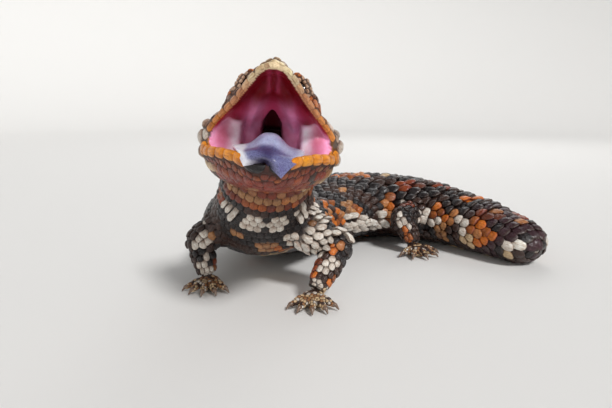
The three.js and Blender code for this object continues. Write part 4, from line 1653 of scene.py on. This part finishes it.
def skin_colours(points, room, rows):
    """The skin darker than the scales on it, with lips along the edge of the mouth's lining."""
    tree = tree_of(rows["point"])
    nearest = np.array([tree.find(p)[1] for p in points])
    along, _, above, fore, _, over = in_both_jaws(points)
    in_upper = above + over > 0
    reach = np.where(in_upper, 1.3, 0.3)
    lip = step((reach - room) / 0.8 + 0.5) * np.where(in_upper, along > 11, fore > 4)
    return paint(rows["tint"][nearest] * 0.3,
                 ((0.04, 0.015, 0.012), np.full(len(points), 0.5)),
                 (lip_tints(points), lip))


def make_skin(points, quads, rows):
    """The skin, parted into its outside and the lining of the mouth."""
    room = open_mouth(points)
    lined = room < 0.0
    colours = np.where(lined[:, None], lining_colours(points), skin_colours(points, room, rows))
    inside = lined[quads].sum(1) >= 3
    for name, chosen, material in (
            ("skin", ~inside, skin_material()),
            ("mouth_lining", inside, lining_material())):
        used, compact = np.unique(quads[chosen], return_inverse=True)
        made = make_object(name, points[used], [compact.reshape(-1, 4)])
        _, normals = onto_skin(points[used], 0)
        made.data.normals_split_custom_set_from_vertices(normals.tolist())
        set_tint(made, colours[used])
        made.data.materials.append(material)
    flesh = ["head", "lower_jaw", "neck", "trunk_front", "trunk_rear", "tail_base", "tail_end"]
    flesh += [f"{leg}_{part}" for leg in LEGS for part in ("upper", "lower", "foot")]
    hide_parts(*flesh)
    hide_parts("head", "lower_jaw")


# Tongue, eyes and claws

def tongue_shape():
    """Rings of points round the tongue, and what its colours need: along, part across and over."""
    rings, sides = 110, 120
    t = (1 - (1 - np.linspace(0, 1, rings)) ** 1.6) * (len(TONGUE_STATIONS) - 1)
    along, middle, edge, right, left = smooth(TONGUE_STATIONS, t).T[..., None]
    turn = np.linspace(0, 2 * math.pi, sides, endpoint=False)
    part, over = np.sin(turn)[None], np.cos(turn)[None]
    forward = along / TONGUE_STATIONS[-1][0]
    flat = step((along - 30) / 9)
    profile = (1 - flat) * np.exp(-np.abs(part / TONGUE_HUMP) ** 3) + flat * (1 - part**4)
    profile = profile * np.where(over < 0, flat, 1)
    dimple = 0.7 * bump(part, 0.02, 0.13) * bump(along, 31, 2.5) * (over > 0)
    thick = TONGUE_HALF_THICKNESS * np.sqrt(np.clip(1 - forward**16, 0.01, 1)) * (1 - 0.35 * flat)
    root = TONGUE_ROOT * (1 - flat) * np.minimum(over, 0)
    above = edge + (middle - edge) * profile + over * thick * (1 - 0.4 * part**2) + root - dimple
    above = above - TONGUE_TILT * part * forward**3
    across = part * np.where(part < 0, right, left)
    points = in_jaw(LOWER, along + TONGUE_SKEW * part * forward**3, across, above)
    return points, along, part, over


def make_tongue():
    """The tongue: lighter on top as painted light, pale at its right flap, darker towards the tip as painted
    shade, partly its own tone, and dark below as painted shade.
    """
    rings, along, part, over = tongue_shape()
    points, triangles, quads = loft(rings)
    made = make_object("tongue_flesh", points, [triangles, quads])

    def each_point(values, end=0.0):
        """Values for the rings' points and the two in the middle of the ends."""
        return np.append(np.broadcast_to(values, rings.shape[:2]).ravel(), [0.0, end])

    right_flap = each_point(step((-part - 0.55 - 0.2 * step((along - 28) / 8)) / 0.16))
    left_corner = each_point(step((part - 0.75) / 0.2) * step((35 - along) / 4))
    # Lighter top of the hump, and less grain there: painted light where the top faces the lamps.
    top = each_point(step((36 - along) / 4))
    # Darker front middle towards the tip: painted shade on the front slope, partly the tongue's own darker
    # tone.
    tip = each_point(bump(part, 0, 0.40) * step((along - 33) / 4) * 0.9)
    colours = paint((0.46, 0.48, 0.76),
                    ((0.70, 0.76, 1.0), top),
                    ((0.13, 0.11, 0.26), tip),
                    ((0.95, 0.95, 1.0), right_flap),
                    ((0.80, 0.84, 0.96), left_corner),
                    # Dark underside: painted shade below the tongue.
                    ((0.05, 0.02, 0.09), each_point(over < -0.15, 1.0)))
    set_tint(made, colours, (1 - 0.85 * right_flap) * (1 - 0.5 * left_corner) * (1 - 0.45 * top))
    made.data.materials.append(tongue_material())
    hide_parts("tongue")


def make_eyes():
    """Two eyeballs, each with a dark pupil and a dark rim."""
    material = eye_material()
    for name, side in (("eye_left", 1), ("eye_right", -1)):
        centre, outward = eye_axes(side)
        points, triangles, quads = ball(centre, [EYE_RADIUS * EYEBALL_SHARE] * 3, 48, 32)
        made = make_object(name + "_ball", points, [triangles, quads])
        away = np.degrees(np.arccos(np.clip(unit(points - centre) @ outward, -1, 1)))
        colours = paint((0.09, 0.045, 0.025),
                        ((0.004, 0.003, 0.003), step((PUPIL_EDGE - away) / 2)),
                        ((0.02, 0.012, 0.01), step((away - IRIS_EDGE) / 5)))
        set_tint(made, colours)
        made.data.materials.append(material)
        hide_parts(name)


def make_claws():
    """A curved claw at the end of each toe, all in one mesh."""
    parts, count = [], 0
    for leg in LEGS.values():
        for index in range(TOE_COUNT):
            path = toe_path(leg, index)
            root, tip = path[2], path[4]
            bend = (root + tip) / 2 + UP * 0.75
            curve = np.array([root, (root + bend) / 2 + UP * 0.2, bend, tip])
            claw, triangles, quads = tube(curve, CLAW_RADII, 12, 14)
            parts.append((claw, triangles + count, quads + count))
            count += len(claw)
    points, triangles, quads = (np.vstack(part) for part in zip(*parts))
    points[:, 2] = np.maximum(points[:, 2], CLAW_ABOVE_FLOOR)
    made = make_object("claws", points, [triangles, quads])
    set_tint(made, np.tile(HORN, (len(points), 1)))
    made.data.materials.append(claw_material())


# Stage

FLOOR_SIDES = 96
PHOTO_WIDTH = 612                     # pixels
PHOTO_FOCAL_LENGTH = 540              # pixels
PHOTO_CENTRE_TO_HORIZON = 99          # pixels
CAMERA_PLACE = np.array([20, -250, 86])
FILM_WIDTH = 36


def make_floor():
    """A pale floor that curves up into a wall all round, far from the model."""
    rise = np.linspace(0, math.pi / 2, 24)
    radius = np.concatenate([[0.001, 0.4, 1.0], 1.6 + 1.2 * np.sin(rise), [2.8]])
    height = np.concatenate([[0, 0, 0], 1.2 - 1.2 * np.cos(rise), [2.4]]) - 0.0002
    turn = np.linspace(0, 2 * math.pi, FLOOR_SIDES, endpoint=False)
    x, y = radius[:, None] * np.cos(turn), radius[:, None] * np.sin(turn)
    points = np.stack(np.broadcast_arrays(x, y, height[:, None]), -1)
    index = np.arange(len(radius) * FLOOR_SIDES).reshape(-1, FLOOR_SIDES)
    quads = ring_quads(index)
    mesh = bpy.data.meshes.new("floor")
    mesh.from_pydata(points.reshape(-1, 3).tolist(), [], [index[0].tolist(), *quads.tolist()])
    mesh.polygons.foreach_set("use_smooth", np.ones(len(quads) + 1, bool))
    mesh.update()
    floor = put_in_scene("floor", mesh)
    floor.visible_shadow = False
    look = Look("floor_pale", roughness=0.7)
    look.feed(look.shader, {"Base Color": (0.78, 0.77, 0.75, 1)})
    mesh.materials.append(look.material)


def add_light(name, kind, place, size, power):
    """A lamp aimed at the model: an area lamp of a width, or a sun of an angle."""
    data = bpy.data.lights.new(name, kind)
    if kind == "SUN":
        data.angle = size
    else:
        data.size = size
    data.energy = power
    light = put_in_scene(name, data)
    light.location = place
    light.rotation_mode = "QUATERNION"
    light.rotation_quaternion = (Vector((0, 0, 0.04)) - Vector(place)).to_track_quat("-Z", "Y")


def make_stage():
    """Pale floor, three soft lights and an even sky."""
    make_floor()
    add_light("key", "SUN", (0.5, -0.75, 0.95), 0.22, 2.4)
    add_light("fill", "AREA", (-0.5, -1.1, 0.45), 0.6, 1.6)
    add_light("rim", "AREA", (0.3, 0.9, 0.7), 0.6, 2.0)
    world = bpy.data.worlds.new("studio")
    world.use_nodes = True
    sky = world.node_tree.nodes["Background"]
    sky.inputs["Color"].default_value = (0.93, 0.95, 1.0, 1)
    sky.inputs["Strength"].default_value = 0.22
    bpy.context.scene.world = world
    bpy.context.scene.view_settings.view_transform = "Standard"


def make_camera():
    """The photo's view: low in front of the animal, tipped a little down."""
    data = bpy.data.cameras.new("camera")
    data.sensor_width = FILM_WIDTH
    data.lens = FILM_WIDTH * PHOTO_FOCAL_LENGTH / PHOTO_WIDTH
    data.clip_start = 0.01
    camera = put_in_scene("camera", data)
    camera.location = (CAMERA_PLACE + ORIGIN) / 1000
    tip_down = math.atan(PHOTO_CENTRE_TO_HORIZON / PHOTO_FOCAL_LENGTH)
    camera.rotation_euler = Euler((math.radians(90) - tip_down, 0, 0))
    bpy.context.scene.camera = camera


make_camera()
make_stage()
SCALE_HORN = scale_material()
skin_points, skin_quads = skin_mesh()
site_rows = make_coat(skin_points)
make_skin(skin_points, skin_quads, site_rows)
make_tongue()
make_eyes()
make_claws()
